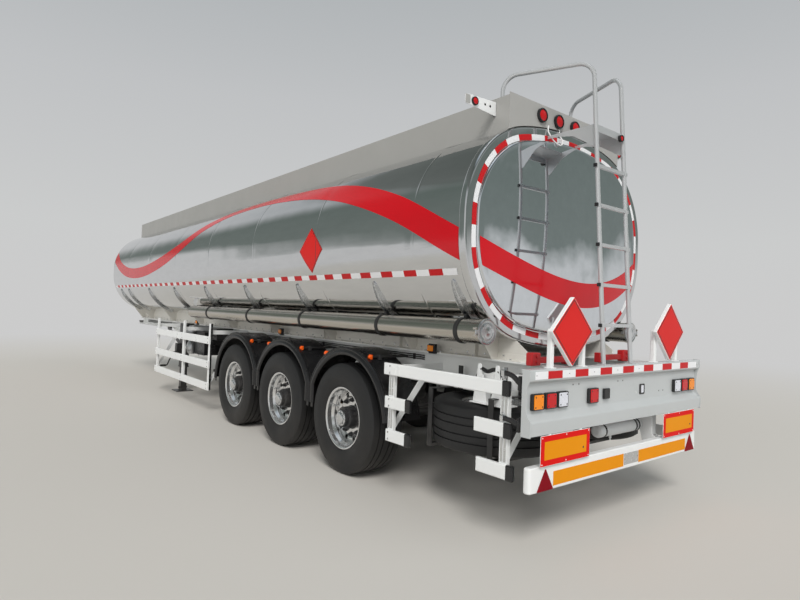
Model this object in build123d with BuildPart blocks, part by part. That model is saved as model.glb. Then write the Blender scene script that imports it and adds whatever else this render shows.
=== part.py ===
from build123d import *
from math import asin, atan2, cos, degrees, hypot, radians, sin, sqrt
import os

os.makedirs("parts", exist_ok=True)

# A three-axle tank semi-trailer, standing on its wheels and its landing legs.
# X runs forward from the middle of the length, Y to the left, Z up from the ground. Millimetres.
# The rear axle is the datum of the length: from_axle gives a place that many millimetres ahead of it.
FRONT_REACH = 9970.0
REAR_REACH = 2300.0
REAR_AXLE_X = -(FRONT_REACH - REAR_REACH) / 2
LEFT, RIGHT = 1, -1
SIDES = (LEFT, RIGHT)

# Half the legal width, which the rear panel fills, and how far in the tank, the boards and the mudguards stay
TRAILER_HALF_WIDTH = 1243.0
SIDE_INSET = 3.0

# Tank: a flattened oval of a shallow roof and floor, big corners and short upright sides
TANK_HALF_WIDTH = TRAILER_HALF_WIDTH - SIDE_INSET
TANK_HALF_HEIGHT = 932.0
TANK_CORNER_R = 803.0
TANK_FLAT_HALF = 78.0
TANK_Z = 2248.0
TANK_REAR = -1643.0
HEAD_DEPTH = 350.0
HEAD_CROWN_R = 3600.0
HEAD_KNUCKLE_R = 110.0
RIM_PROUD = 10.0
RIM_LENGTH = 75.0
RING_WIDTH = 110.0
REAR_HEAD_DEPTH = 85.0
REAR_HEAD_KNUCKLE_R = 18.0
REAR_HEAD_CROWN_R = (TANK_HALF_WIDTH - RING_WIDTH) ** 2 / (2 * (REAR_HEAD_DEPTH - REAR_HEAD_KNUCKLE_R))

# Saddle ribs round the lower half of the tank, and the webs that carry them on the frame
RIB_STATIONS = (-1450.0, -420.0, 1030.0, 2450.0, 3920.0, 5400.0, 6950.0, 8500.0, 9150.0)
RIB_PROUD = 28.0
RIB_WIDTH = 60.0
RIB_TOP_Z = 1845.0
OUTRIGGER_THICK = 10.0
SADDLE_THICK = 8.0

# Frame
FRAME_TOP_Z = 1215.0
BEAM_Y = 620.0
FLANGE_WIDTH = 160.0
FLANGE_THICK = 12.0
WEB_THICK = 8.0
BEAM_DEPTH = 285.0
FRAME_REAR = -2186.0
FRAME_FRONT = 9350.0
NECK_REAR = 6300.0
NECK_FRONT = 6900.0
CROSS_TUBE = 80.0
CROSS_STATIONS = (-2120.0, -1030.0, 130.0, 1240.0, 2350.0, 3420.0, 4520.0, 5640.0, 6760.0, 7880.0, 8780.0, 9300.0)

# Coupling
COUPLING_Z = 1070.0
COUPLING_THICK = 10.0
COUPLING_REAR = 7750.0
KINGPIN_X = 8780.0
KINGPIN_R = 25.4

# Running gear: 385/65 R22.5 singles
AXLE_SPACING = 1310.0
AXLE_COUNT = 3
WHEEL_Z = 530.0
TYRE_R = 530.0
TYRE_WIDTH = 386.0
WHEEL_Y = TRAILER_HALF_WIDTH - 220.0
RIM_FLANGE_R = 298.5
RIM_SEAT_R = 286.0
RIM_WELL_R = 262.0
RIM_HALF_WIDTH = 163.0
RIM_WALL = 9.0
SEAT_GAP = 0.3
RUNNING_GAP = 0.3
AXLE_TUBE_R = 63.5
SPINDLE_R = 42.0
HUB_END_Y = WHEEL_Y + 193.0
STUD_CIRCLE_R = 167.5

# Mudguards
GUARD_R = 694.0
GUARD_THICK = 6.0
GUARD_INNER_Y = WHEEL_Y - 193.0
GUARD_OUTER_Y = TRAILER_HALF_WIDTH - SIDE_INSET

# Rear end
PANEL_HALF_WIDTH = TRAILER_HALF_WIDTH
PANEL_TOP_Z = 1230.0
PANEL_REAR = -2262.0


def from_axle(distance):
    """Give the X of a place so far ahead of the rear axle."""
    return REAR_AXLE_X + distance


def across(distance, z=0.0):
    """Give the upright plane across the trailer, whose own axes run left and up."""
    return Plane(origin=(from_axle(distance), 0, z), x_dir=(0, 1, 0), z_dir=(1, 0, 0))


def along(y):
    """Give the upright plane along the trailer, with its zero at the rear axle, whose own axes run forward and up."""
    return Plane(origin=(REAR_AXLE_X, y, 0), x_dir=(1, 0, 0), z_dir=(0, -1, 0))


TANK_FRONT = FRONT_REACH - HEAD_DEPTH
CORNER_Y = TANK_HALF_WIDTH - TANK_CORNER_R
ROOF_FALL = TANK_HALF_HEIGHT - TANK_FLAT_HALF
TANK_ROOF_R = (CORNER_Y**2 + ROOF_FALL**2 - TANK_CORNER_R**2) / (2 * (ROOF_FALL - TANK_CORNER_R))
ROOF_LEAN = atan2(CORNER_Y, TANK_FLAT_HALF - TANK_HALF_HEIGHT + TANK_ROOF_R)


def draw_oval(grow=0.0, mode=Mode.ADD):
    """Draw the tank's section, grown evenly, about the middle of the running sketch."""
    roof = TANK_ROOF_R + grow
    corner = TANK_CORNER_R + grow
    roof_middle = TANK_HALF_HEIGHT - TANK_ROOF_R
    joint = (roof * sin(ROOF_LEAN), roof_middle + roof * cos(ROOF_LEAN))
    half_roof = (roof * sin(ROOF_LEAN / 2), roof_middle + roof * cos(ROOF_LEAN / 2))
    turn = (radians(90) - ROOF_LEAN) / 2
    half_corner = (CORNER_Y + corner * cos(turn), TANK_FLAT_HALF + corner * sin(turn))
    side = TANK_HALF_WIDTH + grow
    with BuildLine() as section:
        ThreePointArc((0, TANK_HALF_HEIGHT + grow), half_roof, joint)
        ThreePointArc(joint, half_corner, (side, TANK_FLAT_HALF))
        Line((side, TANK_FLAT_HALF), (side, 0))
        mirror(about=Plane.XZ)
        mirror(about=Plane.YZ)
    make_face(section.edges(), mode=mode)


def tank_drop(y):
    """Give how far the tank's floor lies under its middle at a distance from the centre line."""
    if abs(y) < TANK_ROOF_R * sin(ROOF_LEAN):
        return TANK_HALF_HEIGHT - TANK_ROOF_R + sqrt(TANK_ROOF_R**2 - y**2)
    return TANK_FLAT_HALF + sqrt(TANK_CORNER_R**2 - (abs(y) - CORNER_Y) ** 2)


def cut_tank(gap=0.0):
    """Take the tank's shell and its rolled rim, with a gap all round, out of the running part."""
    with BuildSketch(across(TANK_REAR, TANK_Z)) as shell_section:
        draw_oval(gap)
    extrude(shell_section.sketch, amount=TANK_FRONT - TANK_REAR, mode=Mode.SUBTRACT)
    with BuildSketch(across(TANK_REAR - gap, TANK_Z)) as rim_section:
        draw_oval(RIM_PROUD + gap)
    extrude(rim_section.sketch, amount=RIM_LENGTH + 2 * gap, mode=Mode.SUBTRACT)


# Tank shell, with the rolled rim round its rear end
with BuildPart() as tank_shell:
    with BuildSketch(across(TANK_REAR + RIM_LENGTH, TANK_Z)):
        draw_oval()
    extrude(amount=TANK_FRONT - TANK_REAR - RIM_LENGTH)
    with BuildSketch(across(TANK_REAR, TANK_Z)):
        draw_oval(RIM_PROUD)
    extrude(amount=RIM_LENGTH)
tank_shell.part.label = "tank_shell"
export_step(tank_shell.part, "parts/tank_shell.step")

# Dished heads: each is the oval, cut off by a large sphere and rounded at the knuckle
with BuildPart() as front_head:
    with BuildSketch(across(TANK_FRONT, TANK_Z)):
        draw_oval()
    extrude(amount=HEAD_DEPTH)
    with Locations((from_axle(FRONT_REACH - HEAD_CROWN_R), 0, TANK_Z)):
        Sphere(radius=HEAD_CROWN_R, rotation=(0, 0, 90), mode=Mode.INTERSECT)
    fillet(front_head.faces().sort_by(Axis.X)[-1].edges(), radius=HEAD_KNUCKLE_R)
front_head.part.label = "front_head"
export_step(front_head.part, "parts/front_head.step")

with BuildPart() as rear_head:
    with BuildSketch(across(TANK_REAR, TANK_Z)):
        draw_oval(-RING_WIDTH)
    extrude(amount=-REAR_HEAD_DEPTH)
    with Locations((from_axle(TANK_REAR - REAR_HEAD_DEPTH + REAR_HEAD_CROWN_R), 0, TANK_Z)):
        Sphere(radius=REAR_HEAD_CROWN_R, rotation=(0, 0, -90), mode=Mode.INTERSECT)
    fillet(rear_head.faces().sort_by(Axis.X)[0].edges(), radius=REAR_HEAD_KNUCKLE_R)
rear_head.part.label = "rear_head"
export_step(rear_head.part, "parts/rear_head.step")

# Saddle ribs: bands that hug the tank from the saddle webs up to the waist, on both sides
with BuildPart() as tank_ribs:
    for station in RIB_STATIONS:
        with BuildSketch(across(station - RIB_WIDTH / 2, TANK_Z)):
            draw_oval(RIB_PROUD)
            draw_oval(mode=Mode.SUBTRACT)
            with Locations((0, RIB_TOP_Z - TANK_Z)):
                Rectangle(4 * TANK_HALF_WIDTH, 4 * TANK_HALF_HEIGHT, align=(Align.CENTER, Align.MIN), mode=Mode.SUBTRACT)
            Rectangle(2 * BEAM_Y + FLANGE_WIDTH, 4 * TANK_HALF_HEIGHT, mode=Mode.SUBTRACT)
        extrude(amount=RIB_WIDTH)
tank_ribs.part.label = "tank_ribs"
export_step(tank_ribs.part, "parts/tank_ribs.step")

# Saddle: a web over each frame beam, cut to the tank, with an outrigger plate under each rib
SADDLE_FRONT = FRAME_FRONT - 60.0
SADDLE_CLIP = 150.0
SADDLE_STEP = 110.0
OUTRIGGER_REACH = 915.0
with BuildPart() as saddle:
    for side in SIDES:
        with BuildSketch(along(side * BEAM_Y)):
            with BuildLine():
                Polyline(
                    (TANK_REAR - SADDLE_CLIP + 40, FRAME_TOP_Z),
                    (SADDLE_FRONT, FRAME_TOP_Z),
                    (SADDLE_FRONT, TANK_Z - TANK_HALF_HEIGHT + SADDLE_CLIP),
                    (TANK_REAR + 40, TANK_Z - TANK_HALF_HEIGHT + SADDLE_CLIP),
                    (TANK_REAR + 40, FRAME_TOP_Z + SADDLE_STEP + 80),
                    (TANK_REAR - SADDLE_CLIP + 40, FRAME_TOP_Z + SADDLE_STEP - 30),
                    close=True,
                )
            make_face()
        extrude(amount=SADDLE_THICK / 2, both=True)
        for station in RIB_STATIONS:
            with BuildSketch(across(station - OUTRIGGER_THICK / 2)):
                with BuildLine():
                    Polyline(
                        (side * BEAM_Y, FRAME_TOP_Z),
                        (side * (BEAM_Y + FLANGE_WIDTH / 2), FRAME_TOP_Z),
                        (side * OUTRIGGER_REACH, TANK_Z - tank_drop(OUTRIGGER_REACH) - RIB_PROUD),
                        (side * OUTRIGGER_REACH, TANK_Z),
                        (side * BEAM_Y, TANK_Z),
                        close=True,
                    )
                make_face()
            extrude(amount=OUTRIGGER_THICK)
    for station in RIB_STATIONS:
        with BuildSketch(across(station - RIB_WIDTH / 2, TANK_Z)):
            draw_oval(RIB_PROUD)
            Rectangle(2 * BEAM_Y + FLANGE_WIDTH, 4 * TANK_HALF_HEIGHT, mode=Mode.SUBTRACT)
        extrude(amount=RIB_WIDTH, mode=Mode.SUBTRACT)
    cut_tank()
saddle.part.label = "saddle"
export_step(saddle.part, "parts/saddle.step")

# Frame: two I-beams with a shallow neck in front, and cross tubes between their webs
BEAM_BOTTOM_Z = FRAME_TOP_Z - BEAM_DEPTH
NECK_BOTTOM_Z = COUPLING_Z + COUPLING_THICK
LOWER_EDGE = (
    (FRAME_REAR, BEAM_BOTTOM_Z),
    (NECK_REAR, BEAM_BOTTOM_Z),
    (NECK_FRONT, NECK_BOTTOM_Z),
    (FRAME_FRONT, NECK_BOTTOM_Z),
)
with BuildPart() as frame:
    for side in SIDES:
        with BuildSketch(along(side * BEAM_Y)):
            with BuildLine():
                Polyline(*LOWER_EDGE, (FRAME_FRONT, FRAME_TOP_Z), (FRAME_REAR, FRAME_TOP_Z), close=True)
            make_face()
        extrude(amount=WEB_THICK / 2, both=True)
        with BuildSketch(along(side * BEAM_Y)):
            with BuildLine():
                Polyline(
                    (FRAME_REAR, FRAME_TOP_Z),
                    (FRAME_FRONT, FRAME_TOP_Z),
                    (FRAME_FRONT, FRAME_TOP_Z - FLANGE_THICK),
                    (FRAME_REAR, FRAME_TOP_Z - FLANGE_THICK),
                    close=True,
                )
            make_face()
            with BuildLine():
                Polyline(*LOWER_EDGE, *[(x, z + FLANGE_THICK) for x, z in reversed(LOWER_EDGE)], close=True)
            make_face()
        extrude(amount=FLANGE_WIDTH / 2, both=True)
    for station in CROSS_STATIONS:
        with Locations((from_axle(station), 0, (FRAME_TOP_Z + NECK_BOTTOM_Z) / 2)):
            Box(CROSS_TUBE, 2 * BEAM_Y, CROSS_TUBE)
frame.part.label = "frame"
export_step(frame.part, "parts/frame.step")

# Coupling plate under the neck, and the two-inch kingpin below it
PLATE_NOSE = 60.0
with BuildPart() as coupling_plate:
    with BuildSketch(along(0)):
        with BuildLine():
            Polyline(
                (COUPLING_REAR, COUPLING_Z),
                (FRAME_FRONT, COUPLING_Z),
                (FRAME_FRONT + PLATE_NOSE, COUPLING_Z + PLATE_NOSE),
                (FRAME_FRONT + PLATE_NOSE, COUPLING_Z + PLATE_NOSE + 1.4 * COUPLING_THICK),
                (FRAME_FRONT, COUPLING_Z + COUPLING_THICK),
                (COUPLING_REAR, COUPLING_Z + COUPLING_THICK),
                close=True,
            )
        make_face()
    extrude(amount=BEAM_Y + FLANGE_WIDTH / 2, both=True)
coupling_plate.part.label = "coupling_plate"
export_step(coupling_plate.part, "parts/coupling_plate.step")

KINGPIN_STEPS = ((36.5, 35.0), (KINGPIN_R, 35.0), (35.7, 14.0))
with BuildPart() as kingpin:
    top = COUPLING_Z
    for radius, length in KINGPIN_STEPS:
        with BuildSketch(Plane.XY.offset(top)):
            with Locations((from_axle(KINGPIN_X), 0)):
                Circle(radius)
        extrude(amount=-length)
        top = top - length
    chamfer(kingpin.faces().sort_by(Axis.Z)[0].edges(), length=4)
kingpin.part.label = "kingpin"
export_step(kingpin.part, "parts/kingpin.step")

# Walkway coaming on the tank: side walls with folded tops, a rear plate and a front plate
COAMING_Y = 800.0
COAMING_TOP_Z = 3330.0
COAMING_FRONT = 9150.0
COAMING_SHEET = 5.0
COAMING_FOLD = 35.0
REAR_PLATE_RISE = 20.0
with BuildPart() as coaming:
    with BuildSketch(Plane.XY.offset(TANK_Z)):
        with Locations((from_axle((COAMING_FRONT + TANK_REAR) / 2), 0)):
            Rectangle(COAMING_FRONT - TANK_REAR, 2 * COAMING_Y)
            offset(amount=-COAMING_SHEET, kind=Kind.INTERSECTION, mode=Mode.SUBTRACT)
    extrude(amount=COAMING_TOP_Z - TANK_Z)
    with BuildSketch(Plane.XY.offset(COAMING_TOP_Z)):
        with Locations((from_axle((COAMING_FRONT + TANK_REAR) / 2), 0)):
            Rectangle(COAMING_FRONT - TANK_REAR, 2 * COAMING_Y)
            offset(amount=-COAMING_FOLD, kind=Kind.INTERSECTION, mode=Mode.SUBTRACT)
    extrude(amount=-COAMING_SHEET)
    with Locations((from_axle(TANK_REAR), 0, COAMING_TOP_Z)):
        Box(
            COAMING_SHEET,
            2 * COAMING_Y,
            REAR_PLATE_RISE,
            align=(Align.MIN, Align.CENTER, Align.MIN),
        )
    cut_tank()
coaming.part.label = "coaming"
export_step(coaming.part, "parts/coaming.step")

# Manholes: a neck welded on the tank's ridge, a hinged lid with a fill cap on it
MANHOLE_STATIONS = (700.0, 3050.0, 5400.0, 7750.0)
NECK_R = 260.0
NECK_WALL = 8.0
NECK_TOP_Z = 3268.0
NECK_FLANGE = 20.0
LID_THICK = 14.0
LID_GAP = 0.5
HINGE_REACH = 306.0
HINGE_PIN_R = 8.0
LID_LUG = 24.0
TANK_TOP_Z = TANK_Z + TANK_HALF_HEIGHT

with BuildPart() as manhole_necks:
    for station in MANHOLE_STATIONS:
        with Locations((from_axle(station), 0, TANK_TOP_Z - 40)):
            Cylinder(NECK_R, NECK_TOP_Z - TANK_TOP_Z + 40, align=(Align.CENTER, Align.CENTER, Align.MIN))
        with Locations((from_axle(station), 0, NECK_TOP_Z - LID_THICK)):
            Cylinder(NECK_R + NECK_FLANGE, LID_THICK, align=(Align.CENTER, Align.CENTER, Align.MIN))
        with Locations((from_axle(station), 0, TANK_TOP_Z - 40)):
            Cylinder(
                NECK_R - NECK_WALL,
                NECK_TOP_Z - TANK_TOP_Z + 40,
                align=(Align.CENTER, Align.CENTER, Align.MIN),
                mode=Mode.SUBTRACT,
            )
        for side in SIDES:
            with BuildSketch(along(side * 2 * LID_LUG)):
                with BuildLine():
                    Polyline(
                        (station - NECK_R + 4, NECK_TOP_Z - LID_THICK),
                        (station - NECK_R + 4, TANK_TOP_Z + 30),
                        (station - HINGE_REACH - LID_LUG, NECK_TOP_Z - LID_THICK),
                        (station - HINGE_REACH - LID_LUG, NECK_TOP_Z + 2 * LID_THICK),
                        (station - HINGE_REACH + LID_LUG, NECK_TOP_Z + 2 * LID_THICK),
                        (station - HINGE_REACH + LID_LUG, NECK_TOP_Z - LID_THICK),
                        close=True,
                    )
                make_face()
            extrude(amount=LID_LUG / 4, both=True)
            with BuildSketch(along(side * 2 * LID_LUG)):
                with Locations((station - HINGE_REACH, NECK_TOP_Z + LID_THICK)):
                    Circle(HINGE_PIN_R + RUNNING_GAP)
            extrude(amount=LID_LUG, both=True, mode=Mode.SUBTRACT)
    cut_tank()
manhole_necks.part.label = "manhole_necks"
export_step(manhole_necks.part, "parts/manhole_necks.step")

for number, station in enumerate(MANHOLE_STATIONS, start=1):
    with BuildPart() as manhole_lid:
        with Locations((from_axle(station), 0, NECK_TOP_Z + LID_GAP)):
            Cylinder(NECK_R + NECK_FLANGE, LID_THICK, align=(Align.CENTER, Align.CENTER, Align.MIN))
            Cylinder(NECK_R / 2, 2 * LID_THICK, align=(Align.CENTER, Align.CENTER, Align.MIN))
        fillet(manhole_lid.faces().sort_by(Axis.Z)[-1].edges(), radius=5)
        with BuildSketch(along(0)):
            with BuildLine():
                Polyline(
                    (station - HINGE_REACH, NECK_TOP_Z + LID_GAP),
                    (station - NECK_R, NECK_TOP_Z + LID_GAP),
                    (station - NECK_R, NECK_TOP_Z + LID_GAP + LID_THICK),
                    (station - HINGE_REACH, NECK_TOP_Z + 2 * LID_THICK),
                    close=True,
                )
            make_face()
            with Locations((station - HINGE_REACH, NECK_TOP_Z + LID_THICK)):
                Circle(LID_THICK)
        extrude(amount=1.5 * LID_LUG, both=True)
        with BuildSketch(along(0)):
            with Locations((station - HINGE_REACH, NECK_TOP_Z + LID_THICK)):
                Circle(HINGE_PIN_R)
        extrude(amount=2.6 * LID_LUG, both=True)
    manhole_lid.part.label = f"manhole_lid_{number}"
    export_step(manhole_lid.part, f"parts/manhole_lid_{number}.step")

# Walkway deck: a flat sheet over bearers, with a round opening at each manhole
DECK_Z = 3196.0
DECK_SHEET = 5.0
DECK_GAP = 3.0
DECK_HOLE_R = 350.0
BEARER_STATIONS = (-1500.0, -500.0, 130.0, 1300.0, 2400.0, 3700.0, 4750.0, 6050.0, 7100.0, 8400.0, 9050.0)
with BuildPart() as walkway_deck:
    with BuildSketch(Plane.XY.offset(DECK_Z - DECK_SHEET)):
        with Locations((from_axle((COAMING_FRONT + TANK_REAR) / 2), 0)):
            Rectangle(COAMING_FRONT - TANK_REAR - 2 * COAMING_SHEET - 2 * DECK_GAP, 2 * (COAMING_Y - COAMING_SHEET - DECK_GAP))
        for station in MANHOLE_STATIONS:
            with Locations((from_axle(station), 0)):
                Circle(DECK_HOLE_R, mode=Mode.SUBTRACT)
    extrude(amount=DECK_SHEET)
    for station in BEARER_STATIONS:
        with Locations((from_axle(station), 0, DECK_Z - DECK_SHEET / 2)):
            Box(30, 2 * (COAMING_Y - COAMING_SHEET - DECK_GAP), 200, align=(Align.CENTER, Align.CENTER, Align.MAX))
    cut_tank()
walkway_deck.part.label = "walkway_deck"
export_step(walkway_deck.part, "parts/walkway_deck.step")

# Ladder: two leaning rails that turn forward and outward over the coaming as handrails
RAIL_R = 17.5
LADDER_Y = 105.0
LADDER_HALF_WIDTH = 197.0
LADDER_FOOT = -2220.0
LADDER_HEAD = -2062.0
HANDRAIL_Z = 3605.0
HANDRAIL_REACH = 680.0
HANDRAIL_SPREAD = 290.0
HANDRAIL_BEND = 130.0
RUNG_FIRST_Z = 1530.0
RUNG_PITCH = 310.0
RUNG_COUNT = 5
RUNG_SIZE = 26.0
RUNG_STICK_OUT = 32.0
STEP_Z = 3104.0
STEP_DEEP = 165.0
STEP_SHEET = 6.0
STEP_TREAD = 205.0
STEP_SEAT = 26.0
FOOT_PLATE = 8.0


def ladder_x(z):
    """Give how far ahead of the rear axle the ladder's rails are at a height."""
    return LADDER_FOOT + (LADDER_HEAD - LADDER_FOOT) * (z - PANEL_TOP_Z) / (HANDRAIL_Z - PANEL_TOP_Z)


with BuildPart() as ladder:
    for side in SIDES:
        rail_y = LADDER_Y + side * LADDER_HALF_WIDTH
        foot_y = rail_y + side * HANDRAIL_SPREAD
        with BuildLine() as rail:
            FilletPolyline(
                (from_axle(LADDER_FOOT), rail_y, PANEL_TOP_Z + FOOT_PLATE / 2),
                (from_axle(LADDER_HEAD), rail_y, HANDRAIL_Z),
                (from_axle(LADDER_HEAD + HANDRAIL_REACH), foot_y, HANDRAIL_Z),
                (from_axle(LADDER_HEAD + HANDRAIL_REACH), foot_y, DECK_Z),
                radius=HANDRAIL_BEND,
            )
        with BuildSketch(Plane(origin=rail.line @ 0, z_dir=rail.line % 0)):
            Circle(RAIL_R)
        sweep(path=rail.line)
        with Locations((from_axle(LADDER_FOOT), rail_y, PANEL_TOP_Z)):
            Box(4 * RAIL_R, 4 * RAIL_R, FOOT_PLATE, align=(Align.CENTER, Align.CENTER, Align.MIN))
        with BuildSketch(along(rail_y)):
            with BuildLine():
                Polyline(
                    (ladder_x(STEP_Z), STEP_Z),
                    (TANK_REAR, STEP_Z),
                    (TANK_REAR, STEP_Z - STEP_SEAT),
                    (TANK_REAR - REAR_HEAD_DEPTH - 20, STEP_Z - STEP_SEAT),
                    (ladder_x(STEP_Z) + STEP_TREAD, STEP_Z - STEP_DEEP / 3),
                    (ladder_x(STEP_Z - STEP_DEEP) + 40, STEP_Z - STEP_DEEP),
                    (ladder_x(STEP_Z - STEP_DEEP), STEP_Z - STEP_DEEP),
                    close=True,
                )
            make_face()
        extrude(amount=STEP_SHEET / 2, both=True)
    for number in range(RUNG_COUNT):
        rung_z = RUNG_FIRST_Z + number * RUNG_PITCH
        with Locations((from_axle(ladder_x(rung_z)), LADDER_Y, rung_z)):
            Box(RUNG_SIZE, 2 * (LADDER_HALF_WIDTH + RUNG_STICK_OUT), RUNG_SIZE)
    with Locations((from_axle(ladder_x(STEP_Z)), LADDER_Y, STEP_Z)):
        Box(STEP_TREAD, 2 * LADDER_HALF_WIDTH, STEP_SHEET, align=(Align.MIN, Align.CENTER, Align.MAX))
        Box(STEP_SHEET, 2 * LADDER_HALF_WIDTH, STEP_DEEP / 3, align=(Align.MIN, Align.CENTER, Align.MAX))
ladder.part.label = "ladder"
export_step(ladder.part, "parts/ladder.step")

# Rear panel: a folded sheet across the frame's rear end, closed by a plate at each end
PANEL_SHEET = 6.0
PANEL_TOP_STRIP = 78.0
PANEL_RECESS = 24.0
PANEL_LIP_Z = 797.0
PANEL_LIP_OUT = 18.0
PANEL_DEPTH = 73.0
panel_front = PANEL_REAR + PANEL_DEPTH
PANEL_OUTLINE = (
    (panel_front, PANEL_TOP_Z),
    (PANEL_REAR, PANEL_TOP_Z),
    (PANEL_REAR, PANEL_TOP_Z - PANEL_TOP_STRIP),
    (PANEL_REAR + PANEL_RECESS, PANEL_TOP_Z - PANEL_TOP_STRIP - 12),
    (PANEL_REAR + PANEL_RECESS, PANEL_LIP_Z + 128),
    (PANEL_REAR - PANEL_LIP_OUT, PANEL_LIP_Z + 88),
    (PANEL_REAR - PANEL_LIP_OUT + 5, PANEL_LIP_Z),
)
PANEL_INSIDE = (
    (PANEL_REAR - PANEL_LIP_OUT + 5 + PANEL_SHEET, PANEL_LIP_Z),
    (PANEL_REAR - PANEL_LIP_OUT + PANEL_SHEET, PANEL_LIP_Z + 86),
    (PANEL_REAR + PANEL_RECESS + PANEL_SHEET, PANEL_LIP_Z + 123),
    (PANEL_REAR + PANEL_RECESS + PANEL_SHEET, PANEL_TOP_Z - PANEL_TOP_STRIP - 8),
    (PANEL_REAR + PANEL_SHEET, PANEL_TOP_Z - PANEL_TOP_STRIP + 2),
    (PANEL_REAR + PANEL_SHEET, PANEL_TOP_Z - PANEL_SHEET),
    (panel_front, PANEL_TOP_Z - PANEL_SHEET),
)
with BuildPart() as rear_panel:
    with BuildSketch(along(0)):
        with BuildLine():
            Polyline(*PANEL_OUTLINE, *PANEL_INSIDE, close=True)
        make_face()
    extrude(amount=PANEL_HALF_WIDTH, both=True)
    for side in SIDES:
        with BuildSketch(along(side * (PANEL_HALF_WIDTH - PANEL_SHEET / 2))):
            with BuildLine():
                Polyline(*PANEL_OUTLINE, (panel_front - 20, PANEL_LIP_Z), close=True)
            make_face()
        extrude(amount=PANEL_SHEET / 2, both=True)
        with BuildSketch(along(side * BEAM_Y)):
            with BuildLine():
                Polyline(
                    (FRAME_REAR, FRAME_TOP_Z),
                    (PANEL_REAR + PANEL_RECESS + PANEL_SHEET / 2, FRAME_TOP_Z),
                    (PANEL_REAR + PANEL_RECESS + PANEL_SHEET / 2, BEAM_BOTTOM_Z),
                    (FRAME_REAR, BEAM_BOTTOM_Z),
                    close=True,
                )
            make_face()
        extrude(amount=FLANGE_WIDTH / 2, both=True)
rear_panel.part.label = "rear_panel"
export_step(rear_panel.part, "parts/rear_panel.step")

# Rear lamps: housings on the recessed web, each row (side, inset from that end of the panel, length, lower Z, upper Z)
LAMP_CELLS = (
    (LEFT, 47.0, 414.0, 955.0, 1065.0),
    (LEFT, 699.0, 163.0, 951.0, 1065.0),
    (LEFT, 925.0, 102.0, 970.0, 1050.0),
    (RIGHT, 20.0, 476.0, 955.0, 1065.0),
)
LAMP_DEPTH = 44.0
with BuildPart() as rear_lamps:
    for side, inset, length, low_z, high_z in LAMP_CELLS:
        with BuildSketch(across(PANEL_REAR + PANEL_RECESS)):
            with Locations((side * (PANEL_HALF_WIDTH - inset - length / 2), (low_z + high_z) / 2)):
                RectangleRounded(length, high_z - low_z, 12)
        extrude(amount=-LAMP_DEPTH)
    fillet(rear_lamps.faces().filter_by(Axis.X).sort_by(Axis.X)[:4].edges(), radius=6)
rear_lamps.part.label = "rear_lamps"
export_step(rear_lamps.part, "parts/rear_lamps.step")

# Blank sign boxes, each a square on its corner, on two posts that stand on the panel
SIGN_YS = (785.0, -640.0)
SIGN_Z = 1484.0
SIGN_SIDE = 345.0
SIGN_DEPTH = 36.0
SIGN_POST = 40.0
SIGN_POST_SPREAD = 195.0
with BuildPart() as sign_boxes:
    for sign_y in SIGN_YS:
        with BuildSketch(across(-REAR_REACH)):
            with Locations((sign_y, SIGN_Z)):
                Rectangle(SIGN_SIDE, SIGN_SIDE, rotation=45)
        extrude(amount=SIGN_DEPTH)
        for side in SIDES:
            with Locations((from_axle(-REAR_REACH + SIGN_DEPTH), sign_y + side * SIGN_POST_SPREAD, PANEL_TOP_Z)):
                Box(SIGN_POST, SIGN_POST, SIGN_Z - PANEL_TOP_Z + 20, align=(Align.MIN, Align.CENTER, Align.MIN))
            with Locations((from_axle(-REAR_REACH + SIGN_DEPTH), sign_y, SIGN_Z)):
                Box(6, 2 * SIGN_POST_SPREAD, 30, align=(Align.MIN, Align.CENTER, Align.CENTER))
sign_boxes.part.label = "sign_boxes"
export_step(sign_boxes.part, "parts/sign_boxes.step")

# Underrun bar on two arms, with the marker plates over it
BAR_REAR = -2260.0
BAR_DEPTH = 100.0
BAR_HALF_WIDTH = TRAILER_HALF_WIDTH - 23.0
BAR_LOW_Z = 415.0
BAR_HIGH_Z = 585.0
ARM_WIDTH = 70.0
with BuildPart() as underrun_bar:
    with BuildSketch(Plane.XY.offset(BAR_LOW_Z)):
        with Locations((from_axle(BAR_REAR + BAR_DEPTH / 2), 0)):
            RectangleRounded(BAR_DEPTH, 2 * BAR_HALF_WIDTH, 49)
    extrude(amount=BAR_HIGH_Z - BAR_LOW_Z)
    for side in SIDES:
        with BuildSketch(along(side * (BEAM_Y))):
            with BuildLine():
                Polyline(
                    (BAR_REAR + BAR_DEPTH, BAR_LOW_Z + 20),
                    (BAR_REAR + BAR_DEPTH, BAR_HIGH_Z - 20),
                    (BAR_REAR + BAR_DEPTH, BEAM_BOTTOM_Z),
                    (BAR_REAR + BAR_DEPTH + 185, BEAM_BOTTOM_Z),
                    (BAR_REAR + BAR_DEPTH + 60, BAR_LOW_Z + 20),
                    close=True,
                )
            make_face()
        extrude(amount=ARM_WIDTH / 2, both=True)
underrun_bar.part.label = "underrun_bar"
export_step(underrun_bar.part, "parts/underrun_bar.step")

MARKER_REAR = -2278.0
MARKER_THICK = 3.0
MARKER_LENGTH = 565.0
MARKER_HEIGHT = 200.0
MARKER_LOW_Z = 589.0
MARKER_Y = BAR_HALF_WIDTH - 101.0 - MARKER_LENGTH / 2
with BuildPart() as marker_plates:
    for side in SIDES:
        with Locations((from_axle(MARKER_REAR), side * MARKER_Y, MARKER_LOW_Z)):
            Box(MARKER_THICK, MARKER_LENGTH, MARKER_HEIGHT, align=(Align.MIN, Align.CENTER, Align.MIN))
        for spread in SIDES:
            with Locations((from_axle(MARKER_REAR + MARKER_THICK), side * MARKER_Y + spread * 180, MARKER_LOW_Z)):
                Box(20, 40, PANEL_LIP_Z - MARKER_LOW_Z, align=(Align.MIN, Align.CENTER, Align.MIN))
marker_plates.part.label = "marker_plates"
export_step(marker_plates.part, "parts/marker_plates.step")

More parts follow.
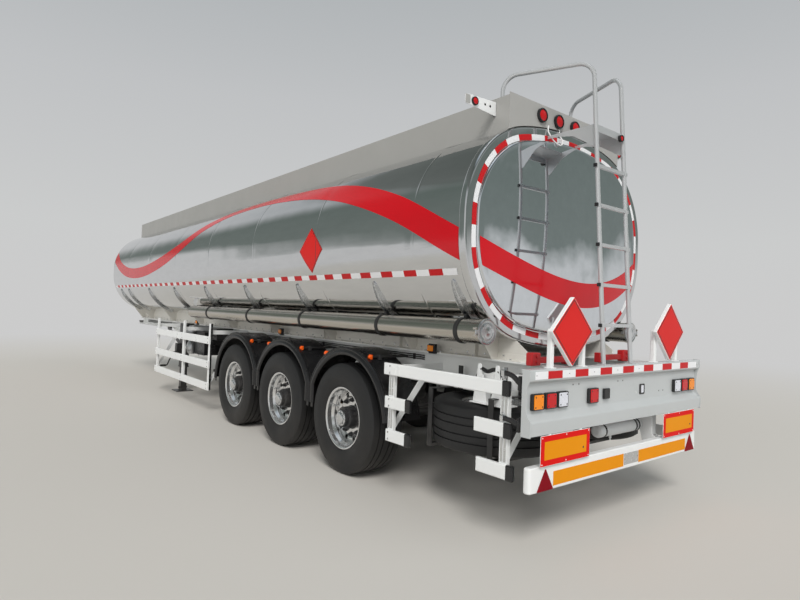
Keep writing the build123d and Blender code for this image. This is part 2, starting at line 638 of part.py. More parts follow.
# Lamps on top: three round ones on the coaming's rear plate, and one on an arm each side
TOP_LAMP_YS = (396.0, 167.0, -69.0)
TOP_LAMP_Z = 3256.0
TOP_LAMP_R = 65.0
TOP_LAMP_DEPTH = 42.0
ARM_STATION = -1500.0
ARM_TIP_Y = 1140.0
ARM_LAMP_Y = 1055.0
ARM_LAMP_Z = 3243.0
ARM_LAMP_R = 42.0
ARM_PLATE = 5.0
with BuildPart() as lamp_arms:
    for side in SIDES:
        with BuildSketch(across(ARM_STATION)):
            with BuildLine():
                Polyline(
                    (side * COAMING_Y, ARM_LAMP_Z + 50),
                    (side * ARM_TIP_Y, ARM_LAMP_Z + 30),
                    (side * ARM_TIP_Y, ARM_LAMP_Z - 40),
                    (side * COAMING_Y, ARM_LAMP_Z - 60),
                    close=True,
                )
            make_face()
        extrude(amount=ARM_PLATE)
        with Locations((from_axle(ARM_STATION), side * COAMING_Y, ARM_LAMP_Z)):
            Box(60, ARM_PLATE, 100, align=(Align.MIN, Align.MIN if side > 0 else Align.MAX, Align.CENTER))
lamp_arms.part.label = "lamp_arms"
export_step(lamp_arms.part, "parts/lamp_arms.step")

with BuildPart() as top_lamps:
    with BuildSketch(across(TANK_REAR)):
        for lamp_y in TOP_LAMP_YS:
            with Locations((lamp_y, TOP_LAMP_Z)):
                Circle(TOP_LAMP_R)
    extrude(amount=-TOP_LAMP_DEPTH)
    with BuildSketch(across(ARM_STATION)):
        for side in SIDES:
            with Locations((side * ARM_LAMP_Y, ARM_LAMP_Z)):
                Circle(ARM_LAMP_R)
    extrude(amount=-TOP_LAMP_DEPTH)
    fillet(top_lamps.edges().filter_by(GeomType.CIRCLE).group_by(Axis.X)[0], radius=8)
top_lamps.part.label = "top_lamps"
export_step(top_lamps.part, "parts/top_lamps.step")

# Axles: a round tube with its spindles, brake spiders, camshafts and brake chambers
AXLE_STATIONS = tuple(number * AXLE_SPACING for number in range(AXLE_COUNT))
TUBE_END_Y = 812.0
SPINDLE_END_Y = 1170.0
SPIDER_R = 150.0
SPIDER_THICK = 14.0
CHAMBER_R = 84.0
CHAMBER_LENGTH = 190.0
CHAMBER_Y = 400.0
CAM_R = 19.0
with BuildPart() as axle_beams:
    for station in AXLE_STATIONS:
        with BuildSketch(along(0)):
            with Locations((station, WHEEL_Z)):
                Circle(AXLE_TUBE_R)
        extrude(amount=TUBE_END_Y, both=True)
        with BuildSketch(along(0)):
            with Locations((station, WHEEL_Z)):
                Circle(SPINDLE_R)
        extrude(amount=SPINDLE_END_Y, both=True)
        for side in SIDES:
            with BuildSketch(along(side * (TUBE_END_Y + SPIDER_THICK / 2))):
                with Locations((station, WHEEL_Z)):
                    Circle(SPIDER_R)
            extrude(amount=SPIDER_THICK / 2, both=True)
            with BuildSketch(along(side * (CHAMBER_Y + TUBE_END_Y) / 2)):
                with Locations((station - 105, WHEEL_Z)):
                    Circle(CAM_R)
            extrude(amount=(TUBE_END_Y - CHAMBER_Y) / 2 + 30, both=True)
            with Locations((from_axle(station), side * (CHAMBER_Y + 20), WHEEL_Z)):
                Box(130, 16, 60, align=(Align.MAX, Align.CENTER, Align.CENTER))
            with Locations((from_axle(station), side * CHAMBER_Y, WHEEL_Z + AXLE_TUBE_R - 8)):
                Box(120, 12, 130, align=(Align.MAX, Align.CENTER, Align.MIN))
            with BuildSketch(across(station - 110)):
                with Locations((side * CHAMBER_Y, WHEEL_Z + AXLE_TUBE_R + 95)):
                    Circle(CHAMBER_R)
            extrude(amount=-CHAMBER_LENGTH)
axle_beams.part.label = "axle_beams"
export_step(axle_beams.part, "parts/axle_beams.step")

# Suspension: hangers under the beams, trailing arms over the axles, and air springs behind them
PIVOT_AHEAD = 490.0
PIVOT_Z = 668.0
PIVOT_PIN_R = 14.0
HANGER_LENGTH = 190.0
HANGER_WIDTH = 120.0
TRAIL_WIDTH = 70.0
SPRING_BEHIND = 365.0
SPRING_SEAT_Z = 640.0
SPRING_TAIL = 480.0
with BuildPart() as hangers:
    for station in AXLE_STATIONS:
        for side in SIDES:
            with BuildSketch(along(side * BEAM_Y)):
                with BuildLine():
                    Polyline(
                        (station + PIVOT_AHEAD - HANGER_LENGTH / 2, BEAM_BOTTOM_Z),
                        (station + PIVOT_AHEAD + HANGER_LENGTH / 2, BEAM_BOTTOM_Z),
                        (station + PIVOT_AHEAD + 55, PIVOT_Z - 60),
                        (station + PIVOT_AHEAD - 55, PIVOT_Z - 60),
                        close=True,
                    )
                make_face()
                with Locations((station + PIVOT_AHEAD, PIVOT_Z)):
                    Circle(PIVOT_PIN_R + SEAT_GAP, mode=Mode.SUBTRACT)
            extrude(amount=HANGER_WIDTH / 2, both=True)
            with Locations((from_axle(station + PIVOT_AHEAD), side * BEAM_Y, PIVOT_Z - 60)):
                Box(
                    HANGER_LENGTH,
                    TRAIL_WIDTH + 10,
                    150,
                    align=(Align.CENTER, Align.CENTER, Align.MIN),
                    mode=Mode.SUBTRACT,
                )
hangers.part.label = "hangers"
export_step(hangers.part, "parts/hangers.step")

with BuildPart() as trailing_arms:
    for station in AXLE_STATIONS:
        for side in SIDES:
            with BuildSketch(along(side * BEAM_Y)):
                with BuildLine():
                    Polyline(
                        (station + PIVOT_AHEAD, PIVOT_Z + 42),
                        (station + 90, WHEEL_Z + AXLE_TUBE_R + 75),
                        (station - 90, WHEEL_Z + AXLE_TUBE_R + 75),
                        (station - SPRING_BEHIND + 90, SPRING_SEAT_Z),
                        (station - SPRING_TAIL, SPRING_SEAT_Z),
                        (station - SPRING_TAIL, SPRING_SEAT_Z - 22),
                        (station - SPRING_BEHIND + 90, SPRING_SEAT_Z - 36),
                        (station - 70, WHEEL_Z + AXLE_TUBE_R - 34),
                        (station - 70, WHEEL_Z),
                        (station + 70, WHEEL_Z),
                        (station + 70, WHEEL_Z + AXLE_TUBE_R - 14),
                        (station + PIVOT_AHEAD, PIVOT_Z - 42),
                        close=True,
                    )
                make_face()
                with Locations((station + PIVOT_AHEAD, PIVOT_Z)):
                    Circle(42)
                with Locations((station, WHEEL_Z)):
                    Circle(AXLE_TUBE_R, mode=Mode.SUBTRACT)
            extrude(amount=TRAIL_WIDTH / 2, both=True)
            with BuildSketch(along(side * BEAM_Y)):
                with Locations((station + PIVOT_AHEAD, PIVOT_Z)):
                    Circle(PIVOT_PIN_R)
            extrude(amount=HANGER_WIDTH / 2 + 12, both=True)
trailing_arms.part.label = "trailing_arms"
export_step(trailing_arms.part, "parts/trailing_arms.step")

SPRING_HEIGHT = BEAM_BOTTOM_Z - SPRING_SEAT_Z
with BuildPart() as air_springs:
    for station in AXLE_STATIONS:
        for side in SIDES:
            with BuildSketch(Plane(origin=(from_axle(station - SPRING_BEHIND), side * BEAM_Y, SPRING_SEAT_Z), x_dir=(1, 0, 0), z_dir=(0, -1, 0))):
                with BuildLine():
                    Polyline(
                        (0, 0),
                        (85, 0),
                        (92, 0.30 * SPRING_HEIGHT),
                        (125, 0.36 * SPRING_HEIGHT),
                        (138, 0.52 * SPRING_HEIGHT),
                        (138, 0.78 * SPRING_HEIGHT),
                        (118, 0.93 * SPRING_HEIGHT),
                        (118, SPRING_HEIGHT),
                        (0, SPRING_HEIGHT),
                        close=True,
                    )
                make_face()
            revolve(axis=Axis((from_axle(station - SPRING_BEHIND), side * BEAM_Y, 0), (0, 0, 1)))
air_springs.part.label = "air_springs"
export_step(air_springs.part, "parts/air_springs.step")

# Wheels: the section of each piece as (outboard of the rim's middle, radius)
RIM_OUTLINE = (
    (RIM_HALF_WIDTH, RIM_FLANGE_R),
    (RIM_HALF_WIDTH - 10, RIM_FLANGE_R),
    (RIM_HALF_WIDTH - 12, RIM_SEAT_R),
    (110, RIM_SEAT_R - 3),
    (85, RIM_WELL_R),
    (-70, RIM_WELL_R),
    (-105, RIM_SEAT_R - 3),
    (12 - RIM_HALF_WIDTH, RIM_SEAT_R),
    (10 - RIM_HALF_WIDTH, RIM_FLANGE_R),
    (-RIM_HALF_WIDTH, RIM_FLANGE_R),
    (-RIM_HALF_WIDTH, RIM_FLANGE_R - RIM_WALL),
    (7 - RIM_HALF_WIDTH, RIM_SEAT_R - RIM_WALL),
    (-108, RIM_SEAT_R - 3 - RIM_WALL),
    (-75, RIM_WELL_R - RIM_WALL),
    (80, RIM_WELL_R - RIM_WALL),
    (113, RIM_SEAT_R - 3 - RIM_WALL),
    (RIM_HALF_WIDTH - 7, RIM_SEAT_R - RIM_WALL),
    (RIM_HALF_WIDTH, RIM_FLANGE_R - RIM_WALL),
)
DISC_FACE = 43.0
DISC_THICK = 14.0
DISC_OUTLINE = (
    (18, RIM_WELL_R - 5),
    (34, RIM_WELL_R - 5),
    (58, 232),
    (58, 205),
    (DISC_FACE, 188),
    (DISC_FACE, 100),
    (DISC_FACE - DISC_THICK, 100),
    (DISC_FACE - DISC_THICK, 192),
    (44, 209),
    (44, 228),
)
HAND_HOLES = 10
HAND_HOLE_R = 26.0
HAND_HOLE_CIRCLE_R = 218.0
HUB_END = HUB_END_Y - WHEEL_Y
HUB_BORE_END = SPINDLE_END_Y - WHEEL_Y + 5
DRUM_R = 205.0
DRUM_WALL = 13.0
DRUM_OPEN = -178.0
HUB_OUTLINE = (
    (DRUM_OPEN, DRUM_R),
    (DISC_FACE - 2 * DISC_THICK, DRUM_R),
    (DISC_FACE - 2 * DISC_THICK, 185),
    (DISC_FACE - DISC_THICK, 185),
    (DISC_FACE - DISC_THICK, 110),
    (HUB_END - 52, 110),
    (HUB_END - 10, 72),
    (HUB_END, 64),
    (HUB_END, 0),
    (HUB_BORE_END, 0),
    (HUB_BORE_END, SPINDLE_R + RUNNING_GAP),
    (-150, SPINDLE_R + RUNNING_GAP),
    (-150, 80),
    (DISC_FACE - 3 * DISC_THICK, 80),
    (DISC_FACE - 3 * DISC_THICK, DRUM_R - DRUM_WALL),
    (DRUM_OPEN, DRUM_R - DRUM_WALL),
)
TYRE_BEAD = RIM_HALF_WIDTH - 12 - SEAT_GAP
TYRE_HALF_OUTLINE = (
    (TYRE_BEAD, RIM_SEAT_R + SEAT_GAP),
    (TYRE_BEAD, RIM_FLANGE_R + 1),
    (RIM_HALF_WIDTH + 4, RIM_FLANGE_R + 8),
    (183, 345),
    (TYRE_WIDTH / 2, 395),
    (190, 445),
    (178, 497),
    (160, TYRE_R - 5),
    (142, TYRE_R),
)


def wheel_plane(station, side):
    """Give the plane through a wheel's axis whose own axes run outboard from the rim's middle and up."""
    return Plane(
        origin=(from_axle(station), side * WHEEL_Y, WHEEL_Z),
        x_dir=(0, side, 0),
        z_dir=(side, 0, 0),
    )


def revolve_outline(plane, outline):
    """Turn a closed outline about its plane's own X axis, in the running part."""
    with BuildSketch(plane) as section:
        with BuildLine() as edge:
            Polyline(*outline, close=True)
        make_face(edge.edges())
    revolve(section.sketch, axis=Axis(plane.origin, plane.x_dir))


def make_rim(plane):
    """Build a rim with its disc, its hub and its brake drum, about a plane's own X axis."""
    with BuildPart() as rim:
        revolve_outline(plane, RIM_OUTLINE)
        revolve_outline(plane, DISC_OUTLINE)
        revolve_outline(plane, HUB_OUTLINE)
        outward = Plane(origin=plane.origin, x_dir=plane.y_dir, z_dir=plane.x_dir)
        with BuildSketch(outward) as holes:
            with PolarLocations(HAND_HOLE_CIRCLE_R, HAND_HOLES, start_angle=18):
                Circle(HAND_HOLE_R)
        extrude(holes.sketch, amount=RIM_HALF_WIDTH, mode=Mode.SUBTRACT)
    return rim.part


def make_tyre(plane):
    """Build a tyre about a plane's own X axis."""
    mirrored = [(-x, r) for x, r in reversed(TYRE_HALF_OUTLINE)]
    with BuildPart() as tyre:
        revolve_outline(plane, (*TYRE_HALF_OUTLINE, *mirrored))
    return tyre.part


for number, station in enumerate(AXLE_STATIONS, start=1):
    for side, side_name in ((LEFT, "left"), (RIGHT, "right")):
        wheel_rim = make_rim(wheel_plane(station, side))
        wheel_rim.label = f"rim_{side_name}_{number}"
        export_step(wheel_rim, f"parts/{wheel_rim.label}.step")
        wheel_tyre = make_tyre(wheel_plane(station, side))
        wheel_tyre.label = f"tyre_{side_name}_{number}"
        export_step(wheel_tyre, f"parts/{wheel_tyre.label}.step")

# Spare wheels, lying flat side by side in their carrier behind the axles
SPARE_STATION = -1440.0
SPARE_Y = 595.0
SPARE_LOW_Z = 505.0
SPARE_PLANES = [
    Plane(
        origin=(from_axle(SPARE_STATION), side * SPARE_Y, SPARE_LOW_Z + TYRE_WIDTH / 2),
        x_dir=(0, 0, -1),
        z_dir=(0, 1, 0),
    )
    for side in SIDES
]
with BuildPart() as spare_tyres:
    for plane in SPARE_PLANES:
        mirrored = [(-x, r) for x, r in reversed(TYRE_HALF_OUTLINE)]
        revolve_outline(plane, (*TYRE_HALF_OUTLINE, *mirrored))
spare_tyres.part.label = "spare_tyres"
export_step(spare_tyres.part, "parts/spare_tyres.step")

with BuildPart() as spare_rims:
    for plane in SPARE_PLANES:
        revolve_outline(plane, RIM_OUTLINE)
        revolve_outline(plane, DISC_OUTLINE)
spare_rims.part.label = "spare_rims"
export_step(spare_rims.part, "parts/spare_rims.step")

CARRIER_BAR = 50.0
CARRIER_SPREAD = 330.0
CARRIER_REACH = 447.0
with BuildPart() as spare_carrier:
    for ahead in SIDES:
        bar_x = from_axle(SPARE_STATION + ahead * CARRIER_SPREAD)
        with Locations((bar_x, 0, SPARE_LOW_Z)):
            Box(CARRIER_BAR, 2 * (SPARE_Y + CARRIER_REACH + 8), CARRIER_BAR / 2, align=(Align.CENTER, Align.CENTER, Align.MAX))
        with Locations((bar_x, 0, SPARE_LOW_Z)):
            Box(CARRIER_BAR, 20, CROSS_TUBE, align=(Align.CENTER, Align.CENTER, Align.MIN))
    with Locations((from_axle(SPARE_STATION), 0, SPARE_LOW_Z - CARRIER_BAR / 2)):
        Box(2 * CARRIER_SPREAD, 2 * CARRIER_BAR, CARRIER_BAR / 2, align=(Align.CENTER, Align.CENTER, Align.MIN))
    for ahead in SIDES:
        for side in SIDES:
            post_x = SPARE_STATION + ahead * CARRIER_SPREAD
            with BuildSketch(across(post_x - CARRIER_BAR / 2)):
                with BuildLine():
                    Polyline(
                        (side * (SPARE_Y + CARRIER_REACH), SPARE_LOW_Z - CARRIER_BAR / 2),
                        (side * (SPARE_Y + CARRIER_REACH + 8), SPARE_LOW_Z - CARRIER_BAR / 2),
                        (side * (SPARE_Y + CARRIER_REACH + 8), BEAM_BOTTOM_Z + 30),
                        (side * (BEAM_Y + FLANGE_WIDTH / 2), BEAM_BOTTOM_Z + 30),
                        (side * (BEAM_Y + FLANGE_WIDTH / 2), BEAM_BOTTOM_Z + 22),
                        (side * (SPARE_Y + CARRIER_REACH), BEAM_BOTTOM_Z + 22),
                        close=True,
                    )
                make_face()
            extrude(amount=CARRIER_BAR)
            with Locations((from_axle(post_x), side * (BEAM_Y + FLANGE_WIDTH / 2), BEAM_BOTTOM_Z)):
                Box(CARRIER_BAR, 8, 200, align=(Align.CENTER, Align.MIN if side > 0 else Align.MAX, Align.MIN))
spare_carrier.part.label = "spare_carrier"
export_step(spare_carrier.part, "parts/spare_carrier.step")

# Mudguards: a curved sheet over each wheel with a rolled outer edge, held by stays between the wheels
GUARD_GAP = 3.0
GUARD_BEAD = 14.0
GUARD_BEAD_WIDTH = 16.0
GUARD_FRONT_Z = 560.0
GUARD_REAR_Z = 670.0
half_meeting = degrees(asin(AXLE_SPACING / 2 / (GUARD_R + GUARD_THICK)))
meeting_angle = 90 - half_meeting + degrees(GUARD_GAP / GUARD_R)
front_angle = degrees(asin((GUARD_FRONT_Z - WHEEL_Z) / GUARD_R))
rear_angle = 180 - degrees(asin((GUARD_REAR_Z - WHEEL_Z) / GUARD_R))


def draw_band(centre, inner_r, outer_r, start, end):
    """Draw a curved band between two radii and two angles, in the running sketch."""
    with BuildLine() as edge:
        inner = CenterArc(centre, inner_r, start, end - start)
        outer = CenterArc(centre, outer_r, start, end - start)
        Line(inner @ 0, outer @ 0)
        Line(inner @ 1, outer @ 1)
    make_face(edge.edges())


with BuildPart() as mudguards:
    for number, station in enumerate(AXLE_STATIONS):
        start = front_angle if number == AXLE_COUNT - 1 else meeting_angle
        end = rear_angle if number == 0 else 180 - meeting_angle
        centre = (station, WHEEL_Z)
        for side in SIDES:
            with BuildSketch(along(side * (GUARD_INNER_Y + GUARD_OUTER_Y) / 2)):
                draw_band(centre, GUARD_R, GUARD_R + GUARD_THICK, start, end)
            extrude(amount=(GUARD_OUTER_Y - GUARD_INNER_Y) / 2, both=True)
            with BuildSketch(along(side * (GUARD_OUTER_Y - GUARD_BEAD_WIDTH / 2))):
                draw_band(centre, GUARD_R - GUARD_BEAD, GUARD_R + GUARD_THICK, start, end)
            extrude(amount=GUARD_BEAD_WIDTH / 2, both=True)
mudguards.part.label = "mudguards"
export_step(mudguards.part, "parts/mudguards.step")

STAY_R = 19.0
stay_rise = sqrt((GUARD_R + GUARD_THICK + STAY_R) ** 2 - (AXLE_SPACING / 2) ** 2)
front_stay_x = AXLE_STATIONS[-1] + (GUARD_R + GUARD_THICK + STAY_R) * cos(radians(front_angle + 6))
front_stay_z = WHEEL_Z + (GUARD_R + GUARD_THICK + STAY_R) * sin(radians(front_angle + 6))
rear_stay_x = (GUARD_R + GUARD_THICK + STAY_R) * cos(radians(rear_angle - 4))
rear_stay_z = WHEEL_Z + (GUARD_R + GUARD_THICK + STAY_R) * sin(radians(rear_angle - 4))
STAY_PLACES = (
    (AXLE_SPACING / 2, WHEEL_Z + stay_rise),
    (1.5 * AXLE_SPACING, WHEEL_Z + stay_rise),
    (front_stay_x, front_stay_z),
    (rear_stay_x, rear_stay_z),
)
with BuildPart() as guard_stays:
    for stay_x, stay_z in STAY_PLACES:
        for side in SIDES:
            with BuildSketch(along(side * (BEAM_Y + GUARD_OUTER_Y - 40) / 2)):
                with Locations((stay_x, stay_z)):
                    Circle(STAY_R)
            extrude(amount=(GUARD_OUTER_Y - 40 - BEAM_Y) / 2, both=True)
            with Locations((from_axle(stay_x), side * (BEAM_Y + 50), stay_z - STAY_R)):
                Box(30, 12, BEAM_BOTTOM_Z - stay_z + STAY_R, align=(Align.CENTER, Align.CENTER, Align.MIN))
guard_stays.part.label = "guard_stays"
export_step(guard_stays.part, "parts/guard_stays.step")

# Side guards: boards on posts, each post tied to the frame by an arm and a brace
BOARD_THICK = 25.0
BOARD_FACE_Y = TRAILER_HALF_WIDTH - SIDE_INSET
POST_THICK = 30.0
REAR_BOARD_HIGH = 100.0
REAR_BOARDS = (
    (-710.0, -2090.0, 1085.0),
    (-735.0, -1065.0, 803.0),
    (-1780.0, -2110.0, 803.0),
    (-760.0, -1070.0, 525.0),
    (-1810.0, -2140.0, 525.0),
)
REAR_POSTS = ((-795.0, True), (-2040.0, True))
REAR_POST_ENDS = (480.0, 1130.0)
FRONT_BOARD_HIGH = 110.0
FRONT_BOARD_ZS = (1055.0, 705.0, 390.0)
FRONT_GUARD_FRONT = 6100.0
FRONT_GUARD_REARS = {LEFT: 3450.0, RIGHT: 5000.0}
FRONT_POSTS = {LEFT: ((3500.0, True), (4650.0, False), (6050.0, True)), RIGHT: ((5050.0, True), (6050.0, True))}
FRONT_POST_ENDS = (335.0, 1210.0)
POST_WIDTH = 70.0
BRACE_WIDTH = 8.0
ARM_DEPTH = 70.0
post_y = BOARD_FACE_Y - BOARD_THICK - POST_THICK / 2


def add_board(side, front, rear, middle_z, high):
    """Add one board of a side guard to the running part."""
    with BuildPart(mode=Mode.PRIVATE) as board:
        with Locations((from_axle((front + rear) / 2), side * (BOARD_FACE_Y - BOARD_THICK / 2), middle_z)):
            Box(abs(front - rear), BOARD_THICK, high)
        fillet(board.faces().filter_by(Axis.Y).sort_by(Axis.Y)[-1 if side > 0 else 0].edges(), radius=8)
    add(board.part)


def add_post(side, station, low_z, high_z, braced):
    """Add one post of a side guard, with the arm and, where braced, the strut that tie it to the frame."""
    with Locations((from_axle(station), side * post_y, low_z)):
        Box(POST_WIDTH, POST_THICK, high_z - low_z, align=(Align.CENTER, Align.CENTER, Align.MIN))
    beam_edge = BEAM_Y + FLANGE_WIDTH / 2
    with BuildSketch(across(station - BRACE_WIDTH / 2)) as brace:
        with BuildLine() as arm:
            Polyline(
                (side * (BEAM_Y + WEB_THICK / 2), high_z - 10),
                (side * post_y, high_z - 10),
                (side * post_y, high_z - ARM_DEPTH),
                (side * (BEAM_Y + WEB_THICK / 2), high_z - ARM_DEPTH),
                close=True,
            )
        make_face(arm.edges())
        if braced:
            with BuildLine() as strut:
                Polyline(
                    (side * (beam_edge + 60), high_z - ARM_DEPTH),
                    (side * (beam_edge + 140), high_z - ARM_DEPTH),
                    (side * post_y, low_z + 130),
                    (side * post_y, low_z + 50),
                    close=True,
                )
            make_face(strut.edges())
    extrude(brace.sketch, amount=BRACE_WIDTH)


with BuildPart() as rear_side_guards:
    for side in SIDES:
        for front, rear, middle_z in REAR_BOARDS:
            add_board(side, front, rear, middle_z, REAR_BOARD_HIGH)
        for station, braced in REAR_POSTS:
            add_post(side, station, *REAR_POST_ENDS, braced)
rear_side_guards.part.label = "rear_side_guards"
export_step(rear_side_guards.part, "parts/rear_side_guards.step")

with BuildPart() as front_side_guards:
    for side in SIDES:
        for middle_z in FRONT_BOARD_ZS:
            add_board(side, FRONT_GUARD_FRONT, FRONT_GUARD_REARS[side], middle_z, FRONT_BOARD_HIGH)
        for station, braced in FRONT_POSTS[side]:
            add_post(side, station, *FRONT_POST_ENDS, braced)
front_side_guards.part.label = "front_side_guards"
export_step(front_side_guards.part, "parts/front_side_guards.step")

# Hose tubes along both flanks, with a hinged cap on each rear end
HOSE_Y = TANK_HALF_WIDTH - 204.0
HOSE_Z = 1450.0
HOSE_R = 95.0
HOSE_WALL = 4.0
HOSE_REAR = -1690.0
HOSE_FRONT = 4750.0
HOSE_COLLAR_R = 100.0
CAP_GAP = 0.5
CAP_THICK = 10.0
CAP_HINGE_REACH = 118.0
CAP_PIN_R = 4.0
CAP_LUG = 16.0
STRAP_WIDTH = 40.0
STRAP_THICK = 5.0
STRAP_STATIONS = RIB_STATIONS[:5]

for side, side_name in ((LEFT, "left"), (RIGHT, "right")):
    hinge_x = HOSE_REAR - CAP_GAP - CAP_THICK / 2
    hinge_y = side * (HOSE_Y + CAP_HINGE_REACH)
    with BuildPart() as hose_tube:
        with BuildSketch(across(HOSE_REAR)):
            with Locations((side * HOSE_Y, HOSE_Z)):
                Circle(HOSE_R)
                Circle(HOSE_R - HOSE_WALL, mode=Mode.SUBTRACT)
        extrude(amount=HOSE_FRONT - HOSE_REAR)
        with BuildSketch(across(HOSE_REAR)):
            with Locations((side * HOSE_Y, HOSE_Z)):
                Circle(HOSE_COLLAR_R)
                Circle(HOSE_R - HOSE_WALL, mode=Mode.SUBTRACT)
        extrude(amount=30)
        with BuildSketch(across(HOSE_FRONT)):
            with Locations((side * HOSE_Y, HOSE_Z)):
                Circle(HOSE_R)
        extrude(amount=-HOSE_WALL)
        for rise in SIDES:
            with BuildSketch(Plane.XY.offset(HOSE_Z + rise * 1.6 * CAP_LUG)):
                with BuildLine():
                    Polyline(
                        (from_axle(hinge_x - 8), hinge_y - side * 8),
                        (from_axle(hinge_x - 8), hinge_y + side * 8),
                        (from_axle(hinge_x + 25), hinge_y + side * 8),
                        (from_axle(hinge_x + 36), side * (HOSE_Y + HOSE_R - 12)),
                        (from_axle(hinge_x + 12), side * (HOSE_Y + HOSE_R - 12)),
                        (from_axle(hinge_x + 12), hinge_y - side * 8),
                        close=True,
                    )
                make_face()
                with Locations((from_axle(hinge_x), hinge_y)):
                    Circle(CAP_PIN_R + RUNNING_GAP, mode=Mode.SUBTRACT)
            extrude(amount=CAP_LUG / 2, both=True)
        with BuildSketch(across(HOSE_REAR + 5)):
            with Locations((side * HOSE_Y, HOSE_Z)):
                Circle(HOSE_R - HOSE_WALL)
        extrude(amount=200, mode=Mode.SUBTRACT)
    hose_tube.part.label = f"hose_tube_{side_name}"
    export_step(hose_tube.part, f"parts/hose_tube_{side_name}.step")

    with BuildPart() as hose_cap:
        with BuildSketch(across(HOSE_REAR - CAP_GAP)):
            with Locations((side * HOSE_Y, HOSE_Z)):
                Circle(HOSE_COLLAR_R)
        extrude(amount=-CAP_THICK)
        with BuildSketch(across(HOSE_REAR - CAP_GAP - CAP_THICK)):
            with Locations((side * HOSE_Y, HOSE_Z)):
                Circle(HOSE_R - 25)
        extrude(amount=-5)
        with Locations((from_axle(hinge_x), hinge_y, HOSE_Z)):
            Cylinder(8, 1.6 * CAP_LUG)
            Cylinder(CAP_PIN_R, 4.6 * CAP_LUG)
        with Locations((from_axle(hinge_x), hinge_y, HOSE_Z)):
            Box(CAP_THICK, CAP_HINGE_REACH - HOSE_R + 20, 1.6 * CAP_LUG, align=(Align.CENTER, Align.MAX if side > 0 else Align.MIN, Align.CENTER))
    hose_cap.part.label = f"hose_cap_{side_name}"
    export_step(hose_cap.part, f"parts/hose_cap_{side_name}.step")

with BuildPart() as hose_straps:
    for side in SIDES:
        for station in STRAP_STATIONS:
            with BuildSketch(across(station - STRAP_WIDTH / 2)):
                with Locations((side * HOSE_Y, HOSE_Z)):
                    Circle(HOSE_R + STRAP_THICK)
                with Locations(Location((side * (HOSE_Y - 70), HOSE_Z + 70), 45)):
                    Rectangle(56, 56)
                with Locations((side * HOSE_Y, HOSE_Z)):
                    Circle(HOSE_R, mode=Mode.SUBTRACT)
            extrude(amount=STRAP_WIDTH)
    cut_tank(RIB_PROUD)
hose_straps.part.label = "hose_straps"
export_step(hose_straps.part, "parts/hose_straps.step")

# Landing gear: two legs with feet, their brackets and braces, the cross shaft and the crank
LEG_STATION = 5800.0
LEG_Y = 820.0
LEG_OUTER = 130.0
LEG_INNER = 104.0
LEG_SPLIT_Z = 430.0
FOOT_SIZE = 290.0
FOOT_THICK = 12.0
SHAFT_Z = 760.0
LEG_BRACE_Z = 620.0
CRANK_R = 12.0
with BuildPart() as landing_gear:
    for side in SIDES:
        with Locations((from_axle(LEG_STATION), side * LEG_Y, LEG_SPLIT_Z)):
            Box(LEG_OUTER, LEG_OUTER, FRAME_TOP_Z - LEG_SPLIT_Z, align=(Align.CENTER, Align.CENTER, Align.MIN))
        with Locations((from_axle(LEG_STATION), side * LEG_Y, 50)):
            Box(LEG_INNER, LEG_INNER, LEG_SPLIT_Z - 50, align=(Align.CENTER, Align.CENTER, Align.MIN))
        with Locations((from_axle(LEG_STATION), side * LEG_Y, 0)):
            Box(FOOT_SIZE, FOOT_SIZE, FOOT_THICK, align=(Align.CENTER, Align.CENTER, Align.MIN))
        with BuildSketch(along(side * LEG_Y)):
            with BuildLine():
                Polyline(
                    (LEG_STATION - 90, FOOT_THICK),
                    (LEG_STATION + 90, FOOT_THICK),
                    (LEG_STATION + 45, 75),
                    (LEG_STATION - 45, 75),
                    close=True,
                )
            make_face()
        extrude(amount=45, both=True)
        with Locations((from_axle(LEG_STATION), side * (BEAM_Y + FLANGE_WIDTH / 2), FRAME_TOP_Z)):
            Box(
                260,
                LEG_Y - LEG_OUTER / 2 - BEAM_Y - FLANGE_WIDTH / 2,
                240,
                align=(Align.CENTER, Align.MIN if side > 0 else Align.MAX, Align.MAX),
            )
        with BuildSketch(along(side * (LEG_Y - LEG_OUTER / 2 - 6))):
            with BuildLine():
                Polyline(
                    (LEG_STATION + 40, LEG_BRACE_Z),
                    (LEG_STATION + 40, LEG_BRACE_Z + 80),
                    (LEG_STATION + 1150, NECK_BOTTOM_Z + 20),
                    (LEG_STATION + 1250, NECK_BOTTOM_Z + 20),
                    (LEG_STATION + 1250, NECK_BOTTOM_Z - 20),
                    close=True,
                )
            make_face()
        extrude(amount=6, both=True)
        with Locations((from_axle(LEG_STATION + 1250), side * (BEAM_Y + FLANGE_WIDTH / 2), NECK_BOTTOM_Z + 20)):
            Box(
                100,
                LEG_Y - LEG_OUTER / 2 - BEAM_Y - FLANGE_WIDTH / 2,
                40,
                align=(Align.MAX, Align.MIN if side > 0 else Align.MAX, Align.MAX),
            )
    with BuildSketch(along(0)):
        with Locations((LEG_STATION, SHAFT_Z)):
            Circle(20)
    extrude(amount=LEG_Y, both=True)
    with Locations((from_axle(LEG_STATION), LEG_Y + LEG_OUTER / 2, SHAFT_Z)):
        Box(150, 70, 190, align=(Align.CENTER, Align.MIN, Align.CENTER))
    with BuildLine() as crank:
        FilletPolyline(
            (from_axle(LEG_STATION), LEG_Y + LEG_OUTER / 2 + 60, SHAFT_Z - 60),
            (from_axle(LEG_STATION), LEG_Y + LEG_OUTER / 2 + 130, SHAFT_Z - 60),
            (from_axle(LEG_STATION + 320), LEG_Y + LEG_OUTER / 2 + 130, SHAFT_Z - 330),
            (from_axle(LEG_STATION + 320), LEG_Y + LEG_OUTER / 2 + 250, SHAFT_Z - 330),
            radius=30,
        )
    with BuildSketch(Plane(origin=crank.line @ 0, z_dir=crank.line % 0)):
        Circle(CRANK_R)
    sweep(path=crank.line)
landing_gear.part.label = "landing_gear"
